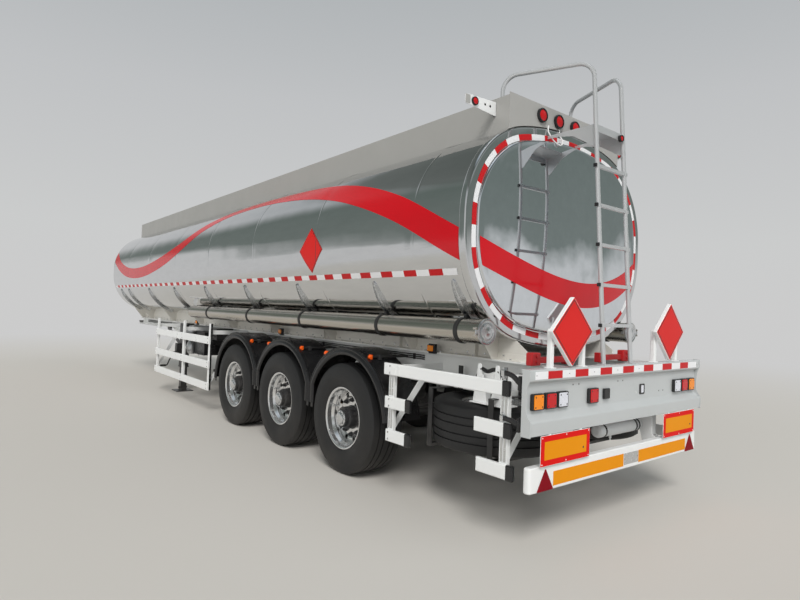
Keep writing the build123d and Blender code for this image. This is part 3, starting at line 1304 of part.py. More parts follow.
export_step(landing_gear.part, "parts/landing_gear.step")

# Air reservoirs: two cylinders with dished ends, one over the other across the frame's left side, banded to a plate
RESERVOIR_STATION = 4870.0
RESERVOIR_ZS = (1104.0, 852.0)
RESERVOIR_R = 110.0
RESERVOIR_INNER_Y = BEAM_Y + FLANGE_WIDTH / 2 + 10
RESERVOIR_OUTER_Y = 1080.0
RESERVOIR_KNUCKLE_R = 30.0
RESERVOIR_CROWN_R = 190.0
RESERVOIR_BAND_YS = (780.0, 985.0)
BAND_THICK = 4.0
BAND_WIDTH = 35.0
RESERVOIR_PLATE = 8.0
with BuildPart() as air_reservoirs:
    for reservoir_z in RESERVOIR_ZS:
        with BuildPart(mode=Mode.PRIVATE) as reservoir:
            with BuildSketch(along(RESERVOIR_OUTER_Y)):
                with Locations((RESERVOIR_STATION, reservoir_z)):
                    Circle(RESERVOIR_R)
            extrude(amount=RESERVOIR_OUTER_Y - RESERVOIR_INNER_Y)
            for end_y, inward in ((RESERVOIR_OUTER_Y, -1), (RESERVOIR_INNER_Y, 1)):
                with Locations((from_axle(RESERVOIR_STATION), end_y + inward * RESERVOIR_CROWN_R, reservoir_z)):
                    Sphere(RESERVOIR_CROWN_R, mode=Mode.INTERSECT)
            fillet(reservoir.edges().filter_by(GeomType.CIRCLE).group_by(SortBy.RADIUS)[-1], radius=RESERVOIR_KNUCKLE_R)
        add(reservoir.part)
        for band_y in RESERVOIR_BAND_YS:
            with BuildSketch(along(band_y)):
                with Locations((RESERVOIR_STATION, reservoir_z)):
                    Circle(RESERVOIR_R + BAND_THICK)
                    Circle(RESERVOIR_R - 1, mode=Mode.SUBTRACT)
            extrude(amount=BAND_WIDTH / 2, both=True)
    plate_front = from_axle(RESERVOIR_STATION - RESERVOIR_R - BAND_THICK / 4)
    with Locations((plate_front, BEAM_Y + FLANGE_WIDTH / 2, RESERVOIR_ZS[1] - 90)):
        Box(
            RESERVOIR_PLATE,
            RESERVOIR_BAND_YS[1] + 40 - BEAM_Y - FLANGE_WIDTH / 2,
            FRAME_TOP_Z - RESERVOIR_ZS[1] + 90,
            align=(Align.MAX, Align.MIN, Align.MIN),
        )
air_reservoirs.part.label = "air_reservoirs"
export_step(air_reservoirs.part, "parts/air_reservoirs.step")

# Equipment boxes on the left, between the front side guard and the frame
BOX_CELLS = (
    (4500.0, 420.0, 760.0, 1130.0, 300.0),
    (4060.0, 340.0, 1030.0, 1205.0, 260.0),
)
with BuildPart() as equipment_boxes:
    for middle, length, low_z, high_z, depth in BOX_CELLS:
        with Locations((from_axle(middle), BEAM_Y + FLANGE_WIDTH / 2, low_z)):
            Box(length, depth, high_z - low_z, align=(Align.CENTER, Align.MIN, Align.MIN))
    fillet(equipment_boxes.edges().filter_by(Axis.Y), radius=15)
equipment_boxes.part.label = "equipment_boxes"
export_step(equipment_boxes.part, "parts/equipment_boxes.step")

# Valve cabinet on the right, open to the side, with a door that swings up
CABINET_REAR = 4020.0
CABINET_FRONT = 4920.0
CABINET_INNER_Y = 740.0
CABINET_OUTER_Y = 1205.0
CABINET_LOW_Z = 720.0
CABINET_HIGH_Z = 1290.0
CABINET_WALL = 5.0
OUTLET_STATIONS = (4170.0, 4370.0, 4570.0, 4770.0)
OUTLET_Y = 870.0
OUTLET_R = 50.0
OUTLET_WALL = 5.0
OUTLET_Z = 950.0
OUTLET_REACH = 1120.0
OUTLET_BEND = 90.0
DOOR_GAP = 0.5
DOOR_THICK = 18.0
DOOR_PIN_R = 5.0
cabinet_middle = from_axle((CABINET_REAR + CABINET_FRONT) / 2)
cabinet_length = CABINET_FRONT - CABINET_REAR
cabinet_depth = CABINET_OUTER_Y - CABINET_INNER_Y
cabinet_height = CABINET_HIGH_Z - CABINET_LOW_Z
door_pin_y = -(CABINET_OUTER_Y + DOOR_GAP + DOOR_THICK / 2)
door_pin_z = CABINET_HIGH_Z + 2
with BuildPart() as valve_cabinet:
    with Locations((cabinet_middle, -CABINET_INNER_Y, CABINET_LOW_Z)):
        Box(cabinet_length, cabinet_depth, cabinet_height, align=(Align.CENTER, Align.MAX, Align.MIN))
    with Locations((cabinet_middle, -CABINET_INNER_Y - CABINET_WALL, CABINET_LOW_Z + CABINET_WALL)):
        Box(
            cabinet_length - 2 * CABINET_WALL,
            cabinet_depth,
            cabinet_height - 2 * CABINET_WALL,
            align=(Align.CENTER, Align.MAX, Align.MIN),
            mode=Mode.SUBTRACT,
        )
    with BuildSketch(Plane.XY.offset(CABINET_HIGH_Z)):
        for station in OUTLET_STATIONS:
            with Locations((from_axle(station), -OUTLET_Y)):
                Circle(OUTLET_R + SEAT_GAP)
    extrude(amount=-2 * CABINET_WALL, mode=Mode.SUBTRACT)
    for station in (CABINET_REAR + 100, CABINET_FRONT - 100):
        with Locations((from_axle(station), -BEAM_Y - FLANGE_WIDTH / 2, FRAME_TOP_Z)):
            Box(60, CABINET_INNER_Y - BEAM_Y - FLANGE_WIDTH / 2, 60, align=(Align.CENTER, Align.MAX, Align.MAX))
    for station, end in ((CABINET_REAR, Align.MIN), (CABINET_FRONT, Align.MAX)):
        with BuildSketch(across(station)) as lug:
            with BuildLine() as edge:
                Polyline(
                    (-CABINET_OUTER_Y + 20, CABINET_HIGH_Z - 20),
                    (-CABINET_OUTER_Y + 20, door_pin_z + 10),
                    (door_pin_y - 10, door_pin_z + 10),
                    (door_pin_y - 10, door_pin_z - 10),
                    (-CABINET_OUTER_Y, door_pin_z - 10),
                    (-CABINET_OUTER_Y, CABINET_HIGH_Z - 20),
                    close=True,
                )
            make_face()
            with Locations((door_pin_y, door_pin_z)):
                Circle(DOOR_PIN_R + RUNNING_GAP, mode=Mode.SUBTRACT)
        extrude(amount=CABINET_WALL if end == Align.MIN else -CABINET_WALL)
valve_cabinet.part.label = "valve_cabinet"
export_step(valve_cabinet.part, "parts/valve_cabinet.step")

with BuildPart() as cabinet_door:
    with Locations((cabinet_middle, -CABINET_OUTER_Y - DOOR_GAP, CABINET_LOW_Z)):
        Box(
            cabinet_length - 2 * CABINET_WALL - 4,
            DOOR_THICK,
            cabinet_height - 12,
            align=(Align.CENTER, Align.MAX, Align.MIN),
        )
    with BuildSketch(across((CABINET_REAR + CABINET_FRONT) / 2)):
        with Locations((door_pin_y, door_pin_z)):
            Circle(DOOR_PIN_R + 4)
        with Locations((door_pin_y, door_pin_z)):
            Rectangle(DOOR_THICK / 2, 30, align=(Align.CENTER, Align.MAX))
    extrude(amount=(cabinet_length - 2 * CABINET_WALL - 4) / 2, both=True)
    with BuildSketch(across((CABINET_REAR + CABINET_FRONT) / 2)):
        with Locations((door_pin_y, door_pin_z)):
            Circle(DOOR_PIN_R)
    extrude(amount=cabinet_length / 2, both=True)
    with Locations((cabinet_middle, -CABINET_OUTER_Y - DOOR_GAP - DOOR_THICK, CABINET_LOW_Z + 60)):
        Box(120, 25, 20, align=(Align.CENTER, Align.MAX, Align.CENTER))
cabinet_door.part.label = "cabinet_door"
export_step(cabinet_door.part, "parts/cabinet_door.step")

with BuildPart() as outlet_pipes:
    for station in OUTLET_STATIONS:
        with BuildLine() as route:
            FilletPolyline(
                (from_axle(station), -OUTLET_Y, TANK_Z - tank_drop(OUTLET_Y) + 60),
                (from_axle(station), -OUTLET_Y, OUTLET_Z),
                (from_axle(station), -OUTLET_REACH, OUTLET_Z),
                radius=OUTLET_BEND,
            )
        with BuildSketch(Plane(origin=route.line @ 0, z_dir=route.line % 0)):
            Circle(OUTLET_R)
            Circle(OUTLET_R - OUTLET_WALL, mode=Mode.SUBTRACT)
        sweep(path=route.line)
        with BuildSketch(along(-OUTLET_REACH)):
            with Locations((station, OUTLET_Z)):
                Circle(75)
                Circle(OUTLET_R - OUTLET_WALL, mode=Mode.SUBTRACT)
        extrude(amount=-24)
    cut_tank()
outlet_pipes.part.label = "outlet_pipes"
export_step(outlet_pipes.part, "parts/outlet_pipes.step")

# Side marker lamps along the frame and on the mudguards' outer edges
MARKER_STATIONS = (5480.0, 2250.0, -740.0)
with BuildPart() as side_markers:
    for side in SIDES:
        outward = Align.MIN if side > 0 else Align.MAX
        for station in MARKER_STATIONS:
            with Locations((from_axle(station), side * (BEAM_Y + FLANGE_WIDTH / 2), FRAME_TOP_Z - 12)):
                Box(110, 5, 90, align=(Align.CENTER, outward, Align.MIN))
            with Locations((from_axle(station), side * (BEAM_Y + FLANGE_WIDTH / 2 + 5), FRAME_TOP_Z + 28)):
                Box(110, 30, 45, align=(Align.CENTER, outward, Align.MIN))
side_markers.part.label = "side_markers"
export_step(side_markers.part, "parts/side_markers.step")
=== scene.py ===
# %% [markdown]
# # A tank semi-trailer, dressed around its CAD frame
#
# The CAD model gives every solid its true size and place. This script loads it as a fixed frame, gives
# each node a finish, and replaces or adds the pieces whose detail the solids leave out: tyres with tread,
# rims with studs, the mirror-bright heads, stripes, lenses, hose straps, bolts and the like. Everything
# is in metres, X forward, Y left and Z up, with the ground at zero.

# %% Load the frame
import math
import bmesh
import bpy
import numpy as np
from mathutils import Matrix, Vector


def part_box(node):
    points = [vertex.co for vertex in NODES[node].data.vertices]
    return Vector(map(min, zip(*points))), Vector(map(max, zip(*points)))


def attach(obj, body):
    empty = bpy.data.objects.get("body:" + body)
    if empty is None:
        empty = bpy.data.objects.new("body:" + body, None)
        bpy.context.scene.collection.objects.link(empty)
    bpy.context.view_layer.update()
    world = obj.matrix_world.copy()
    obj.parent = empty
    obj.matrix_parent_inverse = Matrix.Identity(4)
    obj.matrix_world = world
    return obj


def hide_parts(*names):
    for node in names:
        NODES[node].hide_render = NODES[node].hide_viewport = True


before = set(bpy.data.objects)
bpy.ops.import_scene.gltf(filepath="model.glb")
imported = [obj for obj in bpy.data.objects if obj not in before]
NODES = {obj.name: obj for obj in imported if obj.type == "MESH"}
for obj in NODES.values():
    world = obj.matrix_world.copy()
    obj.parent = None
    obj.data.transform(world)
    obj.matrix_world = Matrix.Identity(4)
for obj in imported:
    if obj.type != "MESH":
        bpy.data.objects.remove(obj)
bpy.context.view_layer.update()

# %% [markdown]
# ## Driving places
#
# The rear axle is the datum of the length, as a fitter would measure it. The tyres' solids say where it
# is, so a place "so far ahead of the rear axle" is one addition away.

# %% Read the driving places off the frame
def middle(node):
    """The middle of a CAD node's box: half the sum of its two corners."""
    low, high = (np.array(corner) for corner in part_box(node))
    return (low + high) / 2


REAR_AXLE = middle("tyre_left_1")[0]
AXLE_SPACING = middle("tyre_left_2")[0] - REAR_AXLE
TYRE_R = (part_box("tyre_left_1")[1][2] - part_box("tyre_left_1")[0][2]) / 2
print("rear axle at", round(REAR_AXLE, 4), "spacing", round(AXLE_SPACING, 4), "tyre", round(TYRE_R, 4))

# %% [markdown]
# ## The camera
#
# The photograph was taken at eye height, a few steps from the rear left corner, with a wide lens and a
# slight tilt. A camera is a position and three directions: forward from yaw and pitch, right and up
# turned by roll.

# %% Place the camera
LENS_MM = 25.2
SENSOR_MM = 36.0
CAMERA_BEHIND, CAMERA_Y, CAMERA_Z = -4.553, 4.189, 1.587
YAW, PITCH, ROLL = -0.6788, 0.0188, 0.0364


def looking_matrix(right, up, forward, place=(0.0, 0.0, 0.0)):
    """The matrix of a camera or a lamp at a place, which looks along forward."""
    matrix = np.eye(4)
    matrix[:3] = np.column_stack([right, up, -forward, place])
    return Matrix(matrix.tolist())


def camera_matrix(place, yaw, pitch, roll):
    """A camera's matrix: right and up are turned about forward by the roll."""
    forward = np.array([math.cos(yaw) * math.cos(pitch), math.sin(yaw) * math.cos(pitch), math.sin(pitch)])
    level_right = np.array([math.sin(yaw), -math.cos(yaw), 0.0])
    level_up = np.cross(level_right, forward)
    right = math.cos(roll) * level_right + math.sin(roll) * level_up
    up = -math.sin(roll) * level_right + math.cos(roll) * level_up
    return looking_matrix(right, up, forward, place)


camera_data = bpy.data.cameras.new("camera")
camera_data.lens = LENS_MM
camera_data.sensor_width = SENSOR_MM
camera_data.clip_end = 400.0
camera = bpy.data.objects.new("camera", camera_data)
bpy.context.scene.collection.objects.link(camera)
camera.matrix_world = camera_matrix((REAR_AXLE + CAMERA_BEHIND, CAMERA_Y, CAMERA_Z), YAW, PITCH, ROLL)
bpy.context.scene.camera = camera
bpy.context.scene.view_settings.view_transform = "Standard"
print("camera at", [round(value, 3) for value in camera.matrix_world.translation])

# %% [markdown]
# ## Node helpers
#
# A material is a small graph of nodes. One helper adds a node, sets its properties, and either sets or
# links each input, so that a graph reads as a list of what feeds what.

# %% Helpers for node graphs
def add_node(tree, kind, inputs=None, **settings):
    """Add a node, set its properties, and set or link its inputs by name or number."""
    node = tree.nodes.new(kind)
    for name, value in settings.items():
        setattr(node, name, value)
    for key, value in (inputs or {}).items():
        if isinstance(value, bpy.types.NodeSocket):
            tree.links.new(value, node.inputs[key])
        else:
            node.inputs[key].default_value = value
    return node


def new_group(name, output, **inputs):
    """Start a group of nodes with number inputs, given with their defaults, and one number output."""
    group = bpy.data.node_groups.new(name, "ShaderNodeTree")
    for label, default in inputs.items():
        socket = group.interface.new_socket(label, in_out="INPUT", socket_type="NodeSocketFloat")
        socket.default_value = default
    group.interface.new_socket(output, in_out="OUTPUT", socket_type="NodeSocketFloat")
    return group, group.nodes.new("NodeGroupInput").outputs, group.nodes.new("NodeGroupOutput").inputs[output]


def place_group(tree, group, **inputs):
    """Place a group of nodes in a material, set or link its inputs, and give its output."""
    return add_node(tree, "ShaderNodeGroup", inputs, node_tree=group).outputs[0]


def object_place(tree):
    """The place on the object, in metres."""
    return add_node(tree, "ShaderNodeTexCoord").outputs["Object"]


def noise(tree, place, scale, detail, roughness=0.5):
    """A noise over a place."""
    inputs = {"Vector": place, "Scale": scale, "Detail": detail, "Roughness": roughness}
    return add_node(tree, "ShaderNodeTexNoise", inputs).outputs["Fac"]


def remap(tree, value, low, high, to_low=0.0, to_high=1.0, **settings):
    """A value's run from low to high mapped to another run, and held at its ends."""
    inputs = {"Value": value, "From Min": low, "From Max": high, "To Min": to_low, "To Max": to_high}
    return add_node(tree, "ShaderNodeMapRange", inputs, **settings).outputs["Result"]


def calculate(tree, operation, first, second):
    """One sum or product of two values."""
    return add_node(tree, "ShaderNodeMath", {0: first, 1: second}, operation=operation).outputs[0]


def on_vector(tree, operation, first, *second):
    """One operation on vectors: scaled parts, a length or a dot product."""
    node = add_node(tree, "ShaderNodeVectorMath", dict(enumerate((first, *second))), operation=operation)
    return node.outputs["Vector" if operation == "MULTIPLY" else "Value"]


def ramp(tree, factor, stops):
    """A colour ramp over stops of (position, grey or colour)."""
    node = add_node(tree, "ShaderNodeValToRGB", {"Fac": factor})
    while len(node.color_ramp.elements) < len(stops):
        node.color_ramp.elements.new(0.5)
    for element, (position, value) in zip(node.color_ramp.elements, stops):
        element.position = position
        element.color = (value, value, value, 1.0) if isinstance(value, float) else (*value, 1.0)
    return node.outputs["Color"]


# %% [markdown]
# ## Effects that several finishes share
#
# Dust settles low and in patches, brushed metal has a fine grain along one way, and rolled sheet is never
# quite flat. Each is a node group built once. A material places it with its own amounts.

# %% Shared effects as node groups
def make_dust_group():
    """Dust mask: noise times a fall with height above the ground."""
    group, source, sink = new_group("Road dust", "Mask", Amount=0.5, Reach=1.2, Scale=3.0)
    place = object_place(group)
    height = add_node(group, "ShaderNodeSeparateXYZ", {0: place}).outputs["Z"]
    fall = remap(group, height, 0.0, source["Reach"], 1.0, 0.0)
    patches = remap(group, noise(group, place, source["Scale"], 8.0, 0.65), 0.35, 0.75)
    both = calculate(group, "MULTIPLY", patches, fall)
    group.links.new(calculate(group, "MULTIPLY", both, source["Amount"]), sink)
    return group


def make_grain_group():
    """Brushed grain: noise stretched along X, as a value round a half."""
    group, source, sink = new_group("Brushed grain", "Value", Scale=60.0, Stretch=0.03)
    stretch = add_node(group, "ShaderNodeCombineXYZ", {0: source["Stretch"], 1: 1.0, 2: 1.0}).outputs[0]
    place = on_vector(group, "MULTIPLY", object_place(group), stretch)
    group.links.new(noise(group, place, source["Scale"], 4.0, 0.6), sink)
    return group


def make_sheet_group():
    """Rolled sheet: a slow noise along the length and a slower one round it, as a height."""
    group, source, sink = new_group("Rolled sheet", "Height", Scale=1.0)
    place = on_vector(group, "MULTIPLY", object_place(group), (1.6, 0.7, 0.9))
    group.links.new(noise(group, place, source["Scale"], 2.0, 0.4), sink)
    return group


def make_wear_group():
    """Chips and scuffs: the peaks of a fine noise where a coarse noise is high, as a mask."""
    group, source, sink = new_group("Scuffs", "Mask", Amount=0.5, Scale=12.0)
    place = object_place(group)
    where = remap(group, noise(group, place, 1.7, 3.0), 0.5, 0.7)
    peaks = remap(group, noise(group, place, source["Scale"], 9.0, 0.7), 0.58, 0.7)
    both = calculate(group, "MULTIPLY", where, peaks)
    group.links.new(calculate(group, "MULTIPLY", both, source["Amount"]), sink)
    return group


DUST = make_dust_group()
GRAIN = make_grain_group()
SHEET = make_sheet_group()
SCUFFS = make_wear_group()
print("groups:", [group.name for group in bpy.data.node_groups])

# %% [markdown]
# ## Finishes
#
# Each finish starts from a Principled BSDF with its constant numbers set on its own sockets. What changes
# over the surface is mixed in: a dust colour over the paint, a grain in the roughness, a bump for the
# sheet's waves.

# %% A painted, plated or moulded finish
DUST_COLOR = (0.42, 0.36, 0.29, 1.0)
SCUFF_COLOR = (0.16, 0.15, 0.14, 1.0)
NOISE_LOW, NOISE_HIGH = 0.3, 0.7


def start_material(name, **sockets):
    """A material with a Principled BSDF whose own sockets are set by name."""
    material = bpy.data.materials.new(name)
    material.use_nodes = True
    shader = material.node_tree.nodes["Principled BSDF"]
    for key, value in sockets.items():
        shader.inputs[key.replace("_", " ")].default_value = value
    return material, material.node_tree, shader


def mix_color(tree, factor, first, second):
    """Blend two colours by a factor."""
    inputs = {"Factor": factor, 6: first, 7: second}
    return add_node(tree, "ShaderNodeMix", inputs, data_type="RGBA", clamp_factor=True).outputs[2]


def add_bump(tree, shader, height, strength, distance):
    """Tilt the shader's normal by a height."""
    relief = add_node(tree, "ShaderNodeBump", {"Height": height, "Strength": strength, "Distance": distance})
    tree.links.new(relief.outputs[0], shader.inputs["Normal"])


def worn_material(
    name, color, shade, roughness, rougher,
    dust, reach=1.3, scuffs=0.0, bump=0.0, bump_scale=40.0, **sockets,
):
    """A finish whose colour drifts to a shade and whose gloss varies, with dust, scuffs and a fine bump."""
    material, tree, shader = start_material(name, **sockets)
    place = object_place(tree)
    drift = noise(tree, place, 2.3, 6.0, 0.6)
    base = mix_color(tree, drift, (*color, 1.0), (*shade, 1.0))
    if scuffs:
        base = mix_color(tree, place_group(tree, SCUFFS, Amount=scuffs), base, SCUFF_COLOR)
    if dust:
        base = mix_color(tree, place_group(tree, DUST, Amount=dust, Reach=reach), base, DUST_COLOR)
    tree.links.new(base, shader.inputs["Base Color"])
    tree.links.new(remap(tree, drift, NOISE_LOW, NOISE_HIGH, roughness, rougher), shader.inputs["Roughness"])
    if bump:
        add_bump(tree, shader, noise(tree, place, bump_scale, 5.0), bump, 0.002)
    return material


# %% Metals
def start_metal(name, color, low_share, roughness, rougher, scale, stretch, metallic=1.0):
    """A metal with a grain in its gloss, and a tone that falls to a share of its colour with the grain."""
    material, tree, shader = start_material(name, Metallic=metallic)
    grain = place_group(tree, GRAIN, Scale=scale, Stretch=stretch)
    tree.links.new(remap(tree, grain, NOISE_LOW, NOISE_HIGH, roughness, rougher), shader.inputs["Roughness"])
    tone = ramp(tree, grain, [(NOISE_LOW, tuple(low_share * c for c in color)), (NOISE_HIGH, color)])
    return material, tree, shader, tone


def polished_material(name, color, roughness, rougher, waves, scale):
    """Polished sheet: bright metal with faint polishing marks in its gloss and slow waves in its normal."""
    material, tree, shader, tone = start_metal(name, color, 0.94, roughness, rougher, 14.0, 0.25)
    tree.links.new(tone, shader.inputs["Base Color"])
    add_bump(tree, shader, place_group(tree, SHEET, Scale=scale), waves, 0.02)
    return material


def brushed_material(name, color, roughness, rougher, stretch=0.03, scale=60.0, dust=0.2, metallic=1.0):
    """Plain metal: a grain in the gloss and the tone, with some dust low down."""
    material, tree, shader, tone = start_metal(
        name, color, 0.86, roughness, rougher, scale, stretch, metallic
    )
    dusty = mix_color(tree, place_group(tree, DUST, Amount=dust, Reach=1.4), tone, DUST_COLOR)
    tree.links.new(dusty, shader.inputs["Base Color"])
    return material


SHELL = polished_material("polished_shell", (0.74, 0.745, 0.75), 0.03, 0.08, 0.22, 1.0)
MIRROR_HEAD = polished_material("mirror_head", (0.82, 0.85, 0.88), 0.015, 0.04, 0.12, 0.8)
MILL = brushed_material("mill_aluminium", (0.72, 0.73, 0.75), 0.28, 0.42)
STAINLESS = brushed_material(
    "stainless_tube", (0.62, 0.58, 0.52), 0.16, 0.26, stretch=0.02, scale=90.0, dust=0.0
)
BARE_STEEL = brushed_material("bare_steel", (0.50, 0.50, 0.50), 0.30, 0.50)
MILL_BRIGHT = brushed_material(
    "mill_bright", (0.80, 0.81, 0.82), 0.16, 0.30, stretch=0.6, scale=40.0, dust=0.0
)
RIM_ALLOY = brushed_material(
    "rim_alloy", (0.88, 0.88, 0.88), 0.10, 0.16, stretch=1.0, scale=14.0, dust=0.0, metallic=0.90
)
print("metals made")

# %% Paints, rubbers and plastics
GREY_PAINT = worn_material(
    "grey_paint", (0.40, 0.395, 0.38), (0.35, 0.345, 0.33), 0.34, 0.48, dust=0.0, scuffs=0.15
)
LADDER_GREY = worn_material(
    "ladder_grey", (0.62, 0.63, 0.64), (0.56, 0.57, 0.58), 0.26, 0.36, dust=0.0, Metallic=0.45
)
WHITE_PAINT = worn_material(
    "white_paint", (0.84, 0.85, 0.85), (0.79, 0.80, 0.80), 0.26, 0.40, dust=0.08, scuffs=0.15
)
FRAME_PAINT = worn_material(
    "frame_paint", (0.80, 0.81, 0.80), (0.73, 0.74, 0.73), 0.32, 0.48, dust=0.12, reach=1.6, scuffs=0.15
)
BLACK_PAINT = worn_material(
    "black_paint", (0.018, 0.018, 0.019), (0.028, 0.028, 0.029), 0.30, 0.45, dust=0.08
)
GUARD_PLASTIC = worn_material(
    "guard_plastic", (0.008, 0.008, 0.009), (0.013, 0.013, 0.014), 0.22, 0.32, dust=0.02, bump=0.08,
    bump_scale=180.0
)
TYRE_RUBBER = worn_material(
    "tyre_rubber", (0.012, 0.012, 0.013), (0.020, 0.020, 0.020), 0.50, 0.68, dust=0.06, reach=0.6, bump=0.2,
    bump_scale=120.0
)
STRAP_RUBBER = worn_material("strap_rubber", (0.02, 0.02, 0.02), (0.03, 0.03, 0.03), 0.5, 0.7, dust=0.2)
RED_TAPE = worn_material(
    "red_tape", (0.58, 0.008, 0.012), (0.52, 0.007, 0.010), 0.34, 0.44, dust=0.0, Specular_IOR_Level=0.25
)
WHITE_TAPE = worn_material("white_tape", (0.86, 0.86, 0.87), (0.80, 0.80, 0.82), 0.28, 0.40, dust=0.0)
RED_FILM = worn_material(
    "red_film", (0.60, 0.004, 0.012), (0.55, 0.004, 0.010), 0.12, 0.20, dust=0.0, Specular_IOR_Level=0.35
)
# Dark colour for printed lines and marks, and for the painted shade that stands in for small holes.
DARK_MARK_AND_SHADE = worn_material("dark_mark_and_shade", (0.03, 0.02, 0.02), (0.04, 0.03, 0.03), 0.35, 0.45, dust=0.0)
SIGN_RED = worn_material(
    "sign_red", (0.70, 0.012, 0.008), (0.64, 0.010, 0.008), 0.34, 0.44, dust=0.0, Specular_IOR_Level=0.25
)
SADDLE_PAINT = worn_material(
    "saddle_alloy", (0.78, 0.76, 0.71), (0.70, 0.68, 0.63), 0.38, 0.55, dust=0.0, scuffs=0.15, Metallic=0.15
)
HUB_BLACK = worn_material("hub_black", (0.014, 0.014, 0.016), (0.022, 0.022, 0.024), 0.22, 0.36, dust=0.08)
PANEL_PAINT = worn_material(
    "panel_paint", (0.52, 0.54, 0.545), (0.48, 0.50, 0.505), 0.20, 0.28, dust=0.06, scuffs=0.15
)
BLACK_GLOSS = worn_material("black_gloss", (0.012, 0.012, 0.013), (0.02, 0.02, 0.021), 0.18, 0.30, dust=0.0)
BRIGHT_YELLOW = worn_material(
    "bright_yellow", (0.80, 0.29, 0.002), (0.76, 0.27, 0.002), 0.42, 0.52, dust=0.0, Specular_IOR_Level=0.1
)
BRIGHT_RED = worn_material(
    "bright_red", (0.72, 0.008, 0.006), (0.66, 0.007, 0.006), 0.42, 0.52, dust=0.0, Specular_IOR_Level=0.1
)
TRIANGLE_RED = worn_material(
    "triangle_red", (0.24, 0.002, 0.010), (0.20, 0.002, 0.008), 0.45, 0.55, dust=0.0, Specular_IOR_Level=0.1
)
RED_PAINT = worn_material("red_paint", (0.50, 0.018, 0.022), (0.44, 0.016, 0.018), 0.30, 0.45, dust=0.05)
print("paints made:", len(bpy.data.materials))

# %% Lenses
def lens_material(name, color):
    """A moulded lamp lens: deep colour under a clear coat, with fine prisms as a bump."""
    material, tree, shader = start_material(
        name, Roughness=0.20, Specular_IOR_Level=0.3, Coat_Weight=0.3, Coat_Roughness=0.05
    )
    inputs = {"Vector": object_place(tree), "Scale": 160.0}
    prisms = add_node(tree, "ShaderNodeTexVoronoi", inputs, feature="SMOOTH_F1").outputs["Distance"]
    add_bump(tree, shader, prisms, 0.4, 0.002)
    tone = ramp(tree, prisms, [(0.0, tuple(min(1.0, 1.35 * c) for c in color)), (0.8, color)])
    tree.links.new(tone, shader.inputs["Base Color"])
    return material


RED_LENS = lens_material("red_lens", (0.46, 0.003, 0.006))
AMBER_LENS = lens_material("amber_lens", (0.80, 0.22, 0.002))
ORANGE_LENS = lens_material("orange_lens", (0.80, 0.10, 0.008))
CLEAR_LENS = lens_material("clear_lens", (0.60, 0.61, 0.66))
print("lenses made")

# %% [markdown]
# ## Dress the CAD nodes
#
# A node whose shape is right stays as it is and only gets its finish. The pieces below replace the
# others.

# %% Give every kept node its finish
FINISHES = (
    (MILL, ("manhole_necks", "walkway_deck", "air_reservoirs", "valve_cabinet", "cabinet_door")),
    (MILL, ("hose_cap_left", "hose_cap_right", *(f"manhole_lid_{number}" for number in (1, 2, 3, 4)))),
    (SADDLE_PAINT, ("saddle",)),
    (FRAME_PAINT, ("frame", "hangers")),
    (BARE_STEEL, ("coupling_plate", "kingpin")),
    (GREY_PAINT, ("coaming",)),
    (LADDER_GREY, ("ladder",)),
    (BLACK_PAINT, ("axle_beams", "trailing_arms", "spare_carrier", "guard_stays", "landing_gear")),
    (WHITE_PAINT, ("rear_side_guards", "front_side_guards")),
    (STAINLESS, ("hose_tube_left", "hose_tube_right", "outlet_pipes")),
    (STRAP_RUBBER, ("hose_straps",)),
    (GUARD_PLASTIC, ("equipment_boxes",)),
)
for finish, names in FINISHES:
    for name in names:
        NODES[name].data.materials.clear()
        NODES[name].data.materials.append(finish)
print("dressed", sum(len(names) for _, names in FINISHES), "nodes of", len(NODES))

# %% [markdown]
# ## Surfaces from arrays
#
# A new piece is a form: an array of points, and groups of faces that number those points. Each group also
# has the number of its finish. Forms are worked out as whole arrays, joined, and put into one mesh at the
# end.

# %% The form and its moves
class Form:
    """Points, groups of faces with an equal number of corners, and the finish number of each group."""

    def __init__(self, points, groups, finishes=None):
        self.points = np.asarray(points, float).reshape(-1, 3)
        self.groups = [np.atleast_2d(np.asarray(group, int)) for group in groups]
        self.finishes = list(finishes) if finishes else [0] * len(self.groups)

    def painted(self, number):
        """The same form with one finish number throughout."""
        return Form(self.points, self.groups, [number] * len(self.groups))

    def moved(self, x, y, z):
        """The same form, shifted."""
        return Form(self.points + np.array([x, y, z]), self.groups, self.finishes)

    def mirrored(self):
        """The other side's twin: Y changes its sign and each face runs the other way round."""
        return Form(
            self.points * np.array([1.0, -1.0, 1.0]), [g[:, ::-1] for g in self.groups], self.finishes
        )


def join(*forms):
    """Several forms as one: the face numbers of each are raised by the points before it."""
    starts = np.cumsum([0] + [len(form.points) for form in forms])
    groups = [group + start for form, start in zip(forms, starts) for group in form.groups]
    finishes = [number for form in forms for number in form.finishes]
    return Form(np.concatenate([form.points for form in forms]), groups, finishes)


def both_sides(form):
    """A left form with its mirror twin on the right."""
    return join(form, form.mirrored())


def copied(form, points):
    """A form's faces for several sets of its points, numbered copy by copy."""
    raises = (np.arange(len(points)) * len(form.points)).reshape(-1, 1, 1)
    groups = [(group[None] + raises).reshape(-1, group.shape[1]) for group in form.groups]
    return Form(points, groups, form.finishes)


def repeated(form, offsets):
    """A copy of a form at each offset."""
    return copied(form, form.points[None] + np.asarray(offsets, float).reshape(-1, 1, 3))


def spun(form, count, ahead=0.0):
    """Copies of a form at equal angles about the Y axis through the origin: x' = x cos a + z sin a."""
    angles = (2 * math.pi * (np.arange(count) + ahead) / count).reshape(-1, 1)
    x = form.points[:, 0] * np.cos(angles) + form.points[:, 2] * np.sin(angles)
    z = -form.points[:, 0] * np.sin(angles) + form.points[:, 2] * np.cos(angles)
    return copied(form, np.stack([x, np.broadcast_to(form.points[:, 1], x.shape), z], axis=-1))


